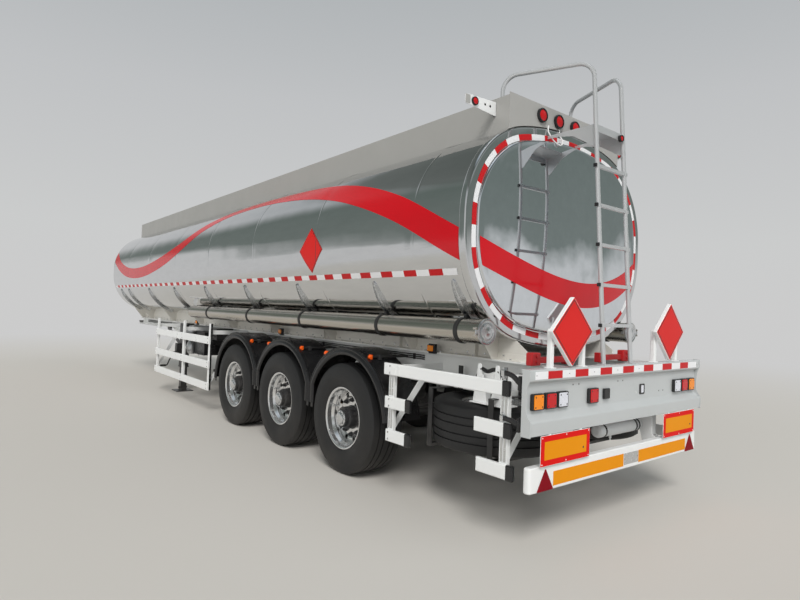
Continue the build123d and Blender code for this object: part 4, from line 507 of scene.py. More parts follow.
# %% Put a form into a mesh
def make_piece(name, form, materials, body="trailer", replaces=(), crease=32.0, outward=True):
    """A mesh object from a form: doubles merged, faces outward, smooth but sharp past the crease angle."""
    mesh = bpy.data.meshes.new(name)
    mesh.from_pydata(form.points.tolist(), [], [face for group in form.groups for face in group.tolist()])
    numbers = [np.full(len(group), number) for group, number in zip(form.groups, form.finishes)]
    mesh.polygons.foreach_set("material_index", np.concatenate(numbers))
    work = bmesh.new()
    work.from_mesh(mesh)
    bmesh.ops.remove_doubles(work, verts=work.verts, dist=2e-5)
    if outward:
        bmesh.ops.recalc_face_normals(work, faces=work.faces)
    work.to_mesh(mesh)
    work.free()
    mesh.shade_smooth()
    mesh.set_sharp_from_angle(angle=math.radians(crease))
    for material in materials:
        mesh.materials.append(material)
    piece = bpy.data.objects.new(name, mesh)
    bpy.context.scene.collection.objects.link(piece)
    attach(piece, body)
    if replaces:
        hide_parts(*replaces)
    print(name, len(mesh.polygons), "faces")


# %% [markdown]
# ## Ways of making a surface
#
# A grid of points in two parameters is the root of all of them. A lathe turns an outline about an axis, a
# sweep carries an outline along a path, and a slab is a flat outline with thickness and bevelled edges.

# %% Grid, lathe and sweep
def grid(points, close_rows=False, close_columns=False):
    """Quads over a rows by columns grid of points, closed on itself where asked."""
    rows, columns = points.shape[:2]
    number = np.arange(rows * columns).reshape(rows, columns)
    if close_rows:
        number = np.vstack([number, number[:1]])
    if close_columns:
        number = np.hstack([number, number[:, :1]])
    quads = np.stack([number[:-1, :-1], number[1:, :-1], number[1:, 1:], number[:-1, 1:]], axis=-1)
    return Form(points, [quads.reshape(-1, 4)])


def capped_grid(points):
    """A grid closed round its columns, with one face over its first row and one over its last."""
    form = grid(points, close_columns=True)
    rows, count = points.shape[:2]
    last = (rows - 1) * count
    return Form(form.points, form.groups + [[range(count)], [range(last, last + count)]])


def cross_ways(way):
    """Two unit directions square to a direction and to each other."""
    way = np.asarray(way, float) / np.linalg.norm(way)
    helper = np.array([0.0, 0.0, 1.0]) if abs(way[2]) < 0.9 else np.array([1.0, 0.0, 0.0])
    first = np.cross(helper, way)
    first /= np.linalg.norm(first)
    return way, first, np.cross(way, first)


def lathe(outline, centre, way, steps, closed=False):
    """Turn (along, radius) about a way: centre + along * way + radius * (cos a * first + sin a * second)."""
    way, first, second = cross_ways(way)
    along, radius = np.asarray(outline, float).T
    angles = np.linspace(0.0, 2 * math.pi, steps, endpoint=False)
    ring = np.cos(angles)[:, None] * first + np.sin(angles)[:, None] * second
    points = np.asarray(centre) + along[:, None, None] * way + radius[:, None, None] * ring
    return grid(points, close_rows=closed, close_columns=True)


def sweep(path, outline, side_way):
    """Carry an outline (sideways, up) along a path: path + sideways * side + up * lift, square to its run."""
    path, outline, side_way = (np.asarray(values, float) for values in (path, outline, side_way))
    runs = np.gradient(path, axis=0)
    runs /= np.linalg.norm(runs, axis=1)[:, None]
    side = side_way - (runs @ side_way)[:, None] * runs
    side /= np.linalg.norm(side, axis=1)[:, None]
    lift = np.cross(runs, side)
    return capped_grid(
        path[:, None] + (outline[None, :, :1] * side[:, None] + outline[None, :, 1:] * lift[:, None])
    )


def tube(path, radius, side_way, sides):
    """A round bar along a path."""
    angles = np.linspace(0.0, 2 * math.pi, sides, endpoint=False)
    return sweep(path, radius * np.stack([np.cos(angles), np.sin(angles)], axis=1), side_way)


# %% Outlines and slabs
def rounded(corners, radius, steps):
    """A closed outline with each corner replaced by points of an arc that is tangent to both of its sides."""
    corners = np.asarray(corners, float)
    before, after = np.roll(corners, 1, axis=0) - corners, np.roll(corners, -1, axis=0) - corners
    return np.concatenate([corner_arc(*row, radius, steps) for row in zip(corners, before, after)])


def corner_arc(corner, before, after, radius, steps):
    """The arc that rounds one corner, as a quadratic curve between its two tangent points."""
    start = corner + before / np.linalg.norm(before) * min(radius, 0.49 * np.linalg.norm(before))
    end = corner + after / np.linalg.norm(after) * min(radius, 0.49 * np.linalg.norm(after))
    t = np.linspace(0.0, 1.0, steps)[:, None]
    return (1 - t) ** 2 * start + 2 * t * (1 - t) * corner + t**2 * end


def rounded_path(corners, radius, steps):
    """An open path whose inner corners are rounded."""
    corners = np.asarray(corners, float)
    points = [corners[0]]
    for index in range(1, len(corners) - 1):
        before, after = corners[index - 1] - corners[index], corners[index + 1] - corners[index]
        points.extend(corner_arc(corners[index], before, after, radius, steps))
    return np.array(points + [corners[-1]])


def oblong(width, height, radius=0.0, steps=4):
    """A rectangle's outline round the origin, with rounded corners."""
    x, y = width / 2, height / 2
    corners = np.array([(-x, -y), (x, -y), (x, y), (-x, y)])
    return rounded(corners, radius, steps) if radius else corners


def shrunk(outline, amount):
    """A closed outline moved inward: each corner goes along its sides' inward normals, by the mitre rule."""
    outline = np.asarray(outline, float)
    if signed_area(outline) < 0:
        return shrunk(outline[::-1], amount)[::-1]
    ahead = np.roll(outline, -1, axis=0) - outline
    ahead /= np.maximum(np.linalg.norm(ahead, axis=1), 1e-12)[:, None]
    normal_ahead = np.stack([-ahead[:, 1], ahead[:, 0]], axis=1)
    normal_before = np.roll(normal_ahead, 1, axis=0)
    spread = 1 + np.sum(normal_ahead * normal_before, axis=1)
    return outline + amount * (normal_ahead + normal_before) / np.maximum(spread, 0.4)[:, None]


def signed_area(outline):
    """Twice the area, positive where the outline runs anticlockwise."""
    after = np.roll(outline, -1, axis=0)
    return float(np.sum(outline[:, 0] * after[:, 1] - outline[:, 1] * after[:, 0]))


def slab(outline, origin, across_way, up_way, thick, bevel):
    """A flat outline given thickness along across x up, and bevelled by shrunken first and last rings."""
    outline = np.asarray(outline, float)
    across_way, up_way = np.asarray(across_way, float), np.asarray(up_way, float)
    out_way = np.cross(across_way, up_way)
    bevel = min(bevel, 0.45 * abs(thick))
    step = math.copysign(bevel, thick)
    inner = shrunk(outline, bevel)
    rings = [(inner, 0.0), (outline, step), (outline, thick - step), (inner, thick)]
    rows = [
        np.asarray(origin) + ring[:, :1] * across_way + ring[:, 1:] * up_way + depth * out_way
        for ring, depth in rings
    ]
    return capped_grid(np.stack(rows))


X_WAY, Y_WAY, Z_WAY = (1.0, 0.0, 0.0), (0.0, 1.0, 0.0), (0.0, 0.0, 1.0)
REAR_WAY, RIGHT_WAY, DOWN_WAY = (-1.0, 0.0, 0.0), (0.0, -1.0, 0.0), (0.0, 0.0, -1.0)
ORIGIN = (0.0, 0.0, 0.0)


def block(low, high, bevel=0.002):
    """A box between two corners, with bevelled edges."""
    low, high = np.minimum(low, high), np.maximum(low, high)
    size = high - low
    outline = oblong(size[1], size[2], min(bevel, 0.3 * min(size[1:])), steps=2)
    return slab(
        outline, (low[0], (low[1] + high[1]) / 2, (low[2] + high[2]) / 2), Y_WAY, Z_WAY, size[0], bevel
    )


def axle_block(low, high, bevel=0.002):
    """A box whose X is measured ahead of the rear axle."""
    return block((REAR_AXLE + low[0], *low[1:]), (REAR_AXLE + high[0], *high[1:]), bevel)


def pin(low, high, radius, place, way, steps=16):
    """A short round bar from one place to another along a way."""
    return lathe([(low, 0), (low, radius), (high, radius), (high, 0)], place, way, steps)


def bolt_head(place, way, size, tall=0.008):
    """A hexagon head on a round washer."""
    washer = lathe(
        [(0, 0), (0, 1.3 * size), (0.2 * tall, 1.3 * size), (0.25 * tall, 1.15 * size)], place, way, 12
    )
    head = lathe([(0.2 * tall, size), (0.85 * tall, size), (tall, 0.8 * size), (tall, 0)], place, way, 6)
    return join(washer, head)


def smooth_curve(points, count):
    """A Catmull-Rom curve through a few points: each span blends its four nearest points by cubics."""
    points = np.asarray(points, float)
    padded = np.vstack([2 * points[0] - points[1], points, 2 * points[-1] - points[-2]])
    u = np.linspace(0.0, len(points) - 1 - 1e-9, count)
    span = u.astype(int)
    t = (u - span)[:, None]
    a, b, c, d = (padded[span + shift] for shift in range(4))
    return 0.5 * (2 * b + (c - a) * t + (2 * a - 5 * b + 4 * c - d) * t**2 + (3 * b - a - 3 * c + d) * t**3)


print("ways of making a surface are ready")

# %% [markdown]
# ## The tank
#
# The tank's section is a flattened oval: a shallow roof arc, big corner arcs and a short upright flat,
# the same in all four quarters. Walking round it by length gives every band, seam and stripe its place.
# The CAD shell is exact but coarse, and polished metal shows every facet, so a fine smooth skin replaces
# it.

# %% The tank's section, walked by length
TANK_Z = 2.248
HALF_WIDTH = 1.240
HALF_HEIGHT = 0.932
CORNER_R = 0.803
FLAT_HALF = 0.078
TANK_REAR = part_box("tank_shell")[0][0]
TANK_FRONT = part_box("tank_shell")[1][0]
NOSE_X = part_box("front_head")[1][0]
CORNER_Y = HALF_WIDTH - CORNER_R
ROOF_FALL = HALF_HEIGHT - FLAT_HALF
ROOF_R = (CORNER_Y**2 + ROOF_FALL**2 - CORNER_R**2) / (2 * (ROOF_FALL - CORNER_R))
ROOF_LEAN = math.atan2(CORNER_Y, FLAT_HALF - HALF_HEIGHT + ROOF_R)
ROOF_RUN = ROOF_R * ROOF_LEAN
CORNER_RUN = CORNER_R * (math.pi / 2 - ROOF_LEAN)
QUARTER = ROOF_RUN + CORNER_RUN + FLAT_HALF
print("quarter of the girth", round(QUARTER, 4), "tank from", round(TANK_REAR, 3), "to", round(NOSE_X, 3))


def quarter_point(run, grow):
    """One quarter: a run along the girth from the ridge to the waist gives y, and z up from the middle."""
    run = np.asarray(run, float)
    roof = run < ROOF_RUN
    lean = np.where(roof, run / ROOF_R, np.minimum(ROOF_LEAN + (run - ROOF_RUN) / CORNER_R, math.pi / 2))
    radius = np.where(roof, ROOF_R, CORNER_R)
    middle_y = np.where(roof, 0.0, CORNER_Y)
    middle_z = np.where(roof, HALF_HEIGHT - ROOF_R, FLAT_HALF)
    flat = np.maximum(run - ROOF_RUN - CORNER_RUN, 0.0)
    y = middle_y + (radius + grow) * np.sin(lean)
    z = middle_z + (radius + grow) * np.cos(lean) - flat
    return y, z


def girth_point(girth, grow=0.0):
    """The left side's section by girth: zero at the waist, upward positive, as an array of (y, z)."""
    girth = np.asarray(girth, float)
    y, z = quarter_point(QUARTER - np.abs(girth), grow)
    return np.stack([y, TANK_Z + np.sign(girth + 1e-12) * z], axis=-1)


def tank_ring(grow, steps=48):
    """The whole section as a closed ring, from the ridge down the left side and round."""
    run = np.linspace(0.0, QUARTER, steps, endpoint=False)
    y, z = quarter_point(run, grow)
    y_back, z_back = quarter_point(QUARTER - run, grow)
    ys = np.concatenate([y, y_back, -y, -y_back])
    zs = np.concatenate([z, -z_back, -z, z_back])
    return np.stack([ys, TANK_Z + zs], axis=-1)


def with_x(x, yz):
    """Rows of (y, z) with their X: one number for each row, or one for all."""
    return np.concatenate([np.broadcast_to(np.reshape(x, (-1, 1, 1)), yz.shape[:2] + (1,)), yz], axis=2)


def girth_of_height(z):
    """The girth at which the left side reaches a height above the waist or below it."""
    rise = abs(z - TANK_Z)
    if rise <= FLAT_HALF:
        return z - TANK_Z
    return math.copysign(
        FLAT_HALF + CORNER_R * math.asin(min((rise - FLAT_HALF) / CORNER_R, 1.0)), z - TANK_Z
    )


# %% The skin between its two ends
SEAM_PITCH = 1.55
SEAM_STATIONS = TANK_REAR + 0.62 + SEAM_PITCH * np.arange(7)
SEAM_PULL = 0.0012
SEAM_BEAD = 0.0011
RIM_PROUD = 0.010
RIM_LONG = 0.075
RING_WIDE = 0.110


def shell_grow(x):
    """The skin's grow at x: drawn in a little at each ring seam, with the weld's low bead in its middle."""
    away = np.abs(x[:, None] - SEAM_STATIONS[None])
    pull = SEAM_PULL * np.exp(-((away / 0.07) ** 2)).sum(axis=1)
    bead = SEAM_BEAD * np.clip(1 - (away / 0.006) ** 2, 0, None).sum(axis=1)
    return bead - pull


def skin_stations():
    """Stations along X: an even spacing with close ones round each seam."""
    even = np.linspace(TANK_REAR + RIM_LONG + 0.004, TANK_FRONT, 70)
    close = np.array([-0.1, -0.05, -0.02, -0.006, -0.003, 0.0, 0.003, 0.006, 0.02, 0.05, 0.1])
    return np.unique(np.concatenate([even, (SEAM_STATIONS[:, None] + close).ravel()]))


def tank_skin():
    """The rolled rim and the shell: the section ring at each station, grown or shrunk by the profile."""
    rim = [
        (0.0, -RING_WIDE), (0.0, -0.012), (0.0012, -0.003), (0.005, 0.004), (0.013, 0.0085),
        (0.026, RIM_PROUD), (RIM_LONG - 0.016, RIM_PROUD), (RIM_LONG - 0.007, 0.008),
        (RIM_LONG - 0.001, 0.003), (RIM_LONG + 0.003, 0.0),
    ]
    stations = skin_stations()
    rim_ahead, rim_grow = np.array(rim).T
    ring = np.stack([tank_ring(grow) for grow in np.concatenate([rim_grow, shell_grow(stations)])])
    return grid(with_x(np.concatenate([TANK_REAR + rim_ahead, stations]), ring), close_columns=True)


# %% Dished heads
HEAD_CROWN_R = 3.6
HEAD_KNUCKLE = 0.110
REAR_CROWN_R = 9.5
REAR_KNUCKLE = 0.018
REAR_DEEP = TANK_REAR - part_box("rear_head")[0][0]
HEAD_RINGS = 26


def cap_x(tip_x, sign, crown_r, y, z):
    """The X of a sphere's cap over a place: x = tip - sign * (crown - sqrt(crown^2 - rho^2))."""
    return tip_x - sign * (crown_r - np.sqrt(crown_r**2 - np.hypot(y, z - TANK_Z) ** 2))


def head_form(wall_x, tip_x, crown_r, knuckle, inset):
    """A dished head: a wall, a knuckle of turned rings, and a sphere's cap that shrinks to its middle.

    Each ring of the knuckle lies off the cap by the knuckle's own fall: knuckle * (1 - sin turn)."""
    sign = math.copysign(1.0, tip_x - wall_x)
    wall = tank_ring(-inset)
    rows = [np.column_stack([np.full(len(wall), wall_x), wall])]
    for turn in np.linspace(0.0, math.pi / 2, 9):
        ring = tank_ring(-inset - knuckle * (1 - math.cos(turn)))
        x = cap_x(tip_x, sign, crown_r, *ring.T) - sign * knuckle * (1 - math.sin(turn))
        rows.append(np.column_stack([x, ring]))
    edge = tank_ring(-inset - knuckle)
    for shrink in np.linspace(1.0, 0.0, HEAD_RINGS)[1:]:
        ring = (edge - [0.0, TANK_Z]) * shrink + [0.0, TANK_Z]
        rows.append(np.column_stack([cap_x(tip_x, sign, crown_r, *ring.T), ring]))
    return grid(np.stack(rows), close_columns=True)


FRONT_HEAD = head_form(TANK_FRONT, NOSE_X, HEAD_CROWN_R, HEAD_KNUCKLE, 0.0)
REAR_DOME = head_form(TANK_REAR, TANK_REAR - REAR_DEEP, REAR_CROWN_R, REAR_KNUCKLE, RING_WIDE)
make_piece(
    "tank_skin", join(tank_skin(), FRONT_HEAD), [SHELL], replaces=["tank_shell", "front_head"], outward=False
)
make_piece("rear_dome", REAR_DOME, [MIRROR_HEAD], replaces=["rear_head"], crease=60.0)


def dome_x(y, z):
    """The rear dome's x over a place, from its sphere."""
    return cap_x(TANK_REAR - REAR_DEEP, -1.0, REAR_CROWN_R, y, z)


# %% [markdown]
# ## Tape and stripes
#
# Reflective tape is a thin strip in alternating blocks, cut from a roll and set edge to edge. The red
# band is film laid on the metal. Both are strips a little proud of the skin that follow the section by
# girth, so they lie on the metal wherever it turns.

# %% A patch of film on the tank's side
FILM = 0.0012


def side_film(x, girth_low, girth_high, across, proud=FILM):
    """Film on the left flank: at each x a run of girth from low to high, lifted by the film's thickness."""
    share = np.linspace(0.0, 1.0, across)
    girth = girth_low[:, None] * (1 - share) + girth_high[:, None] * share
    pull = shell_grow(np.asarray(x, float))[:, None]
    return grid(with_x(x, girth_point(girth, proud + pull)))


# %% The red and white tape along each flank
TAPE_HIGH = 0.050
TAPE_BLOCK = 0.160
TAPE_Z = 1.900
TAPE_REAR = REAR_AXLE - 1.52
TAPE_FRONT = REAR_AXLE + 9.55


def flank_tape():
    """Blocks in turn, white first from the rear, each a short film patch."""
    low, high = girth_of_height(TAPE_Z - TAPE_HIGH / 2), girth_of_height(TAPE_Z + TAPE_HIGH / 2)
    count = int((TAPE_FRONT - TAPE_REAR) / TAPE_BLOCK)
    blocks = []
    for number in range(count):
        x = TAPE_REAR + TAPE_BLOCK * (number + np.linspace(0.0, 1.0, 4))
        blocks.append(side_film(x, np.full(4, low), np.full(4, high), 3, 1.3 * FILM).painted(number % 2))
    return join(*blocks)


make_piece("flank_tape", both_sides(flank_tape()), [WHITE_TAPE, RED_TAPE], outward=False)

# %% The red band that sweeps along each flank
# Each row is (ahead of the rear axle, girth up from the waist, width square to the band).
BAND_ROWS = (
    (-1.565, -0.145, 0.225),
    (-0.80, 0.210, 0.222),
    (-0.02, 0.465, 0.215),
    (0.70, 0.625, 0.200),
    (1.50, 0.730, 0.170),
    (2.40, 0.785, 0.145),
    (3.30, 0.735, 0.135),
    (4.10, 0.560, 0.145),
    (5.00, 0.260, 0.165),
    (6.03, 0.045, 0.190),
    (7.20, -0.085, 0.200),
    (8.20, -0.075, 0.205),
    (8.95, 0.070, 0.210),
    (9.60, 0.330, 0.215),
)


def flank_band():
    """The band between two edges: the centre curve moved half the width along its normal in (x, girth)."""
    curve = smooth_curve(np.array(BAND_ROWS), 240)
    slope = np.gradient(curve[:, 1], curve[:, 0])
    tall = curve[:, 2] * np.sqrt(1 + slope**2) / 2
    x = REAR_AXLE + curve[:, 0]
    return side_film(x, curve[:, 1] - tall, curve[:, 1] + tall, 9)


make_piece("flank_band", both_sides(flank_band()), [RED_FILM], outward=False)

# %% The red band across the rear dome
BAND_LOW_Z = 1.667
BAND_HIGH_Z = 1.887
BAND_REACH = 1.128


def dome_edge_y(z, inset):
    """How far out the section's edge is at a height, by looking it up along a fine ring."""
    ring = tank_ring(-inset, 400)
    left = ring[ring[:, 0] >= 0]
    order = np.argsort(left[:, 1])
    return np.interp(z, left[order, 1], left[order, 0])


def dome_band():
    """Between two bows z = low + a d^2 + b d^3, with d measured from a point right of the middle."""
    share = np.linspace(-1.0, 1.0, 121)
    y = BAND_REACH * share
    d = y + 0.19
    lower = BAND_LOW_Z + 0.2714 * d**2 - 0.0743 * d**3
    upper = BAND_HIGH_Z + 0.2415 * d**2 - 0.0574 * d**3
    rows = []
    for mix in np.linspace(0.0, 1.0, 7):
        z = lower * (1 - mix) + upper * mix
        reach = dome_edge_y(z, RING_WIDE + 0.019)
        held = np.clip(y, -reach, reach)
        rows.append(np.column_stack([dome_x(held, z) - FILM, held, z]))
    return grid(np.stack(rows))


make_piece("dome_band", dome_band(), [RED_FILM], outward=False)

# %% The ring of tape round the rear face
RING_TAPE_INSET = 0.080
RING_TAPE_HALF = 0.024
RING_BLOCKS = 40
RING_FACE_X = TANK_REAR - FILM


def ring_tape():
    """Blocks round the flat ring: the section ring at two insets, cut into equal runs."""
    inner = tank_ring(-RING_TAPE_INSET - RING_TAPE_HALF, 200)
    outer = tank_ring(-RING_TAPE_INSET + RING_TAPE_HALF, 200)
    each = len(inner) // RING_BLOCKS
    blocks = []
    for number in range(RING_BLOCKS):
        pick = np.arange(number * each, (number + 1) * each + 1) % len(inner)
        blocks.append(grid(with_x(RING_FACE_X, np.stack([outer[pick], inner[pick]]))).painted(number % 2))
    return join(*blocks)


make_piece("ring_tape", ring_tape(), [WHITE_TAPE, RED_TAPE], outward=False)

# %% The blank red diamond on each flank
DIAMOND_MIDDLE = (0.63, 2.183)
DIAMOND_HALF = (0.235, 0.237)


def diamond_film(share, proud):
    """A square on its corner: at each x the film runs as high as the two slanted sides allow."""
    x = np.linspace(-1.0, 1.0, 41)
    tall = share * DIAMOND_HALF[1] * (1 - np.abs(x)) + 1e-5
    waist = girth_of_height(DIAMOND_MIDDLE[1])
    x = REAR_AXLE + DIAMOND_MIDDLE[0] + share * DIAMOND_HALF[0] * x
    return side_film(x, waist - tall, waist + tall, 9, proud)


# Each layer is (share of the full size, how proud it stands, finish).
LAYERS = ((1.0, 0.0020, 0), (0.955, 0.0024, 1), (0.930, 0.0028, 0))
diamond = [diamond_film(share, proud).painted(finish) for share, proud, finish in LAYERS]
make_piece("flank_diamond", both_sides(join(*diamond)), [SIGN_RED, DARK_MARK_AND_SHADE], outward=False)

# %% [markdown]
# ## Saddle ribs
#
# Each rib is a pressed channel that hugs the tank from the frame up to the waist: a foot plate against
# the skin and a standing web, which ends in a rounded tip. It is swept along the section by girth, and
# the sweep's size falls away at the tip.

# %% Ribs as swept channels
RIB_STATIONS = (-1.45, -0.42, 1.03, 2.45, 3.92, 5.40, 6.95, 8.50, 9.15)
RIB_TOP_Z = 1.845
RIB_LOW_Y = 0.705
RIB_HALF = 0.030


def rib_form(station):
    """A channel swept down the left flank: its outline stands (x, proud), and its webs grow from the tip."""
    run = np.linspace(girth_of_height(RIB_TOP_Z), -QUARTER + ROOF_RUN, 60)
    run = run[girth_point(run)[:, 0] > RIB_LOW_Y - 0.01]
    share = np.clip((run[0] - run) / 0.16, 0.0, 1.0)
    tip = np.sqrt(1 - (1 - np.clip((run[0] - run) / 0.035, 0.0, 1.0)) ** 2)
    outline = np.array([(-1, 0), (1, 0), (1, 1), (0.78, 1), (0.74, 0.30), (-0.74, 0.30), (-0.78, 1), (-1, 1)])
    half = RIB_HALF * (0.55 + 0.45 * share) * np.maximum(tip, 0.05)
    proud = 0.004 + 0.024 * (0.35 + 0.65 * share)
    rows = []
    for corner_x, corner_up in outline:
        yz = np.array([girth_point(r, corner_up * p) for r, p in zip(run, proud)])
        rows.append(np.column_stack([REAR_AXLE + station + corner_x * half, yz]))
    return capped_grid(np.stack(rows, axis=1))


make_piece(
    "ribs",
    both_sides(join(*[rib_form(s) for s in RIB_STATIONS])),
    [MILL_BRIGHT],
    replaces=["tank_ribs"],
    crease=25.0,
)

# %% [markdown]
# ## Wheels
#
# A wheel is built once, about its own axis with its outboard side to the left, and then set on each hub.
# Its sections are given as (outboard from the rim's middle, radius). The sidewall is a smooth curve with
# moulded rings, the tread has four round grooves, and the rim is a deep polished dish with ten round hand
# holes.

# %% Tyre: one closed section, turned about the axle
TYRE_SIDE = (
    (0.1507, 0.2863), (0.1507, 0.2990), (0.1670, 0.3065), (0.1830, 0.3450), (0.1930, 0.3950),
    (0.1900, 0.4450), (0.1790, 0.4960), (0.1620, 0.5230),
)
RING_RADII = (0.318, 0.334, 0.452, 0.468, 0.484)
RING_PROUD = 0.0016
GROOVE_PLACES = (0.095, 0.037)
GROOVE_HALF = 0.0065
# A groove's corners are (share of its half width, depth).
GROOVE_CORNERS = ((1.0, 0.0), (0.6, 0.013), (-0.6, 0.013), (-1.0, 0.0))
SHOULDER = 0.148


def tyre_section():
    """Half the section from the bead to the crown, with rings, shoulder and grooves, then its mirror."""
    side = smooth_curve(TYRE_SIDE[1:], 60)
    for ring in RING_RADII:
        side[:, 0] += RING_PROUD * np.exp(-(((side[:, 1] - ring) / 0.0028) ** 2))
    half = [TYRE_SIDE[0], *side.tolist(), (SHOULDER, TYRE_R - 0.0035)]
    for place in GROOVE_PLACES:
        for share, deep in GROOVE_CORNERS:
            half.append((place + share * GROOVE_HALF, TYRE_R - 0.0015 * (place / SHOULDER) ** 2 - deep))
    half = np.array(half)
    return np.vstack([half, half[::-1] * [-1.0, 1.0]])


TYRE = lathe(tyre_section(), ORIGIN, Y_WAY, 120, closed=True)
print("tyre faces", sum(len(group) for group in TYRE.groups))

# %% Rim barrel with its flanges, seats and well
BARREL = (
    (0.163, 0.2985), (0.153, 0.2985), (0.151, 0.286), (0.110, 0.283), (0.085, 0.262), (-0.070, 0.262),
    (-0.105, 0.283), (-0.151, 0.286), (-0.153, 0.2985), (-0.163, 0.2985), (-0.163, 0.289), (-0.156, 0.277),
    (-0.108, 0.274), (-0.075, 0.253), (0.080, 0.253), (0.113, 0.274), (0.156, 0.277), (0.163, 0.289),
)
BARREL_FORM = lathe(rounded(BARREL, 0.007, 4), ORIGIN, Y_WAY, 96, closed=True)

# %% Disc with its hand holes
HOLES = 10
HOLE_R = 0.026
HOLE_CIRCLE_R = 0.218
DISC_RADII = (0.100, 0.180, 0.190, 0.203, 0.210, 0.228, 0.236, 0.254)
DISC_ALONG = (0.043, 0.043, 0.046, 0.0565, 0.058, 0.058, 0.055, 0.036)
DISC_THICK = 0.014
CELL_LOW, CELL_HIGH = 0.188, 0.248
CELL_STEPS = 8


def disc_face(radius, angle, back):
    """A point of the disc: the profile along the axle at that radius, less the thickness for its back."""
    along = np.interp(radius, DISC_RADII, DISC_ALONG) - (DISC_THICK if back else 0.0)
    return np.stack([radius * np.cos(angle), along, radius * np.sin(angle)], axis=-1)


def hole_cell(back):
    """One tenth of the holed ring: rings that blend from the round hole out to the cell's own edge."""
    half = math.pi / HOLES
    t = np.linspace(0.0, 1.0, CELL_STEPS, endpoint=False)
    sides = (
        (CELL_HIGH, half * (2 * t - 1)),
        (CELL_HIGH + (CELL_LOW - CELL_HIGH) * t, half),
        (CELL_LOW, half * (1 - 2 * t)),
        (CELL_LOW + (CELL_HIGH - CELL_LOW) * t, -half),
    )
    radius, angle = np.concatenate([np.broadcast_arrays(*side) for side in sides], axis=1)
    edge_xy = np.stack([radius * np.cos(angle), radius * np.sin(angle)], axis=1)
    middle_xy = np.array([HOLE_CIRCLE_R, 0.0])
    away = edge_xy - middle_xy
    hole_xy = middle_xy + HOLE_R * away / np.linalg.norm(away, axis=1)[:, None]
    rows = []
    for mix in (0.0, 0.08, 0.35, 0.7, 1.0):
        xy = hole_xy * (1 - mix) + edge_xy * mix
        rows.append(disc_face(np.hypot(xy[:, 0], xy[:, 1]), np.arctan2(xy[:, 1], xy[:, 0]), back))
    return np.stack(rows)


def disc_form():
    """Front and back of the disc: inner ring, ten holed cells, outer ring, and the walls of the holes."""
    front, back = hole_cell(False), hole_cell(True)
    wall = np.stack([front[0], back[0]])
    cell = join(*[grid(points, close_columns=True) for points in (front, back, wall)])
    cells = spun(cell, HOLES)
    rings = []
    for lift in (0.0, DISC_THICK):
        for radii in ((0.098, 0.110, 0.180, 0.185, CELL_LOW), (CELL_HIGH, 0.251, 0.255)):
            outline = [(np.interp(r, DISC_RADII, DISC_ALONG) - lift, r) for r in radii]
            rings.append(lathe(outline, ORIGIN, Y_WAY, 16 * HOLES))
    return join(cells, *rings)


# %% Hub, cap, drum, nuts and valve
NUT_CIRCLE_R = 0.1675
NUT = (
    (0.0, 0.0), (0.0, 0.025), (0.004, 0.025), (0.006, 0.0195), (0.024, 0.0185), (0.028, 0.012),
    (0.038, 0.011), (0.040, 0.0),
)
HUB = (
    (0.015, 0.100), (0.028, 0.114), (0.052, 0.114), (0.056, 0.108), (0.120, 0.106), (0.128, 0.102),
    (0.136, 0.090), (0.160, 0.088), (0.168, 0.084), (0.172, 0.060),
)
HUB_CAP = (
    (0.166, 0.074), (0.174, 0.075), (0.178, 0.071), (0.180, 0.056), (0.188, 0.053), (0.192, 0.047),
    (0.1925, 0.030), (0.1935, 0.0),
)
DRUM = (
    (0.015, 0.186), (0.012, 0.205), (-0.060, 0.205), (-0.066, 0.212), (-0.078, 0.212), (-0.084, 0.205),
    (-0.172, 0.205), (-0.178, 0.200), (-0.178, 0.192), (-0.090, 0.192), (-0.083, 0.080), (0.0, 0.075),
    (0.015, 0.100),
)
NUTS = spun(lathe(NUT, (NUT_CIRCLE_R, 0.0425, 0.0), Y_WAY, 12), 10, 0.5)
CAP_BOLTS = spun(bolt_head((0.062, 0.180, 0.0), Y_WAY, 0.0055, 0.006), 8)
DRUM_LUGS = spun(block((0.203, -0.078, -0.018), (0.216, -0.066, 0.018)), 4)
VALVE_OUTLINE = ((0, 0), (0, 0.007), (0.03, 0.006), (0.03, 0.004), (0.062, 0.004), (0.066, 0.0))
VALVE = lathe(VALVE_OUTLINE, (0.236, 0.058, 0.075), Y_WAY, 10)
BARE_RIM = join(BARREL_FORM, disc_form())
RIM = join(
    BARE_RIM,
    join(lathe(HUB, ORIGIN, Y_WAY, 64), lathe(DRUM, ORIGIN, Y_WAY, 64), NUTS, DRUM_LUGS).painted(1),
    join(lathe(HUB_CAP, ORIGIN, Y_WAY, 48), CAP_BOLTS, VALVE).painted(2),
)


def laid_flat(form):
    """The wheel lying with its outboard side down: y becomes minus z."""
    return Form(form.points[:, [0, 2, 1]] * np.array([1.0, 1.0, -1.0]), form.groups, form.finishes)


WHEEL_CREASE = 34.0
WHEEL_PARTS = (("tyre", TYRE, [TYRE_RUBBER]), ("rim", RIM, [RIM_ALLOY, HUB_BLACK, MILL_BRIGHT]))
for number in (1, 2, 3):
    for side_name in ("left", "right"):
        wheel = f"{side_name}_{number}"
        place = middle("tyre_" + wheel)
        for part, form, finishes in WHEEL_PARTS:
            sided = (form if side_name == "left" else form.mirrored()).moved(*place)
            make_piece(
                f"{part}_dress_{wheel}", sided, finishes, "wheel_" + wheel, [f"{part}_{wheel}"], WHEEL_CREASE
            )

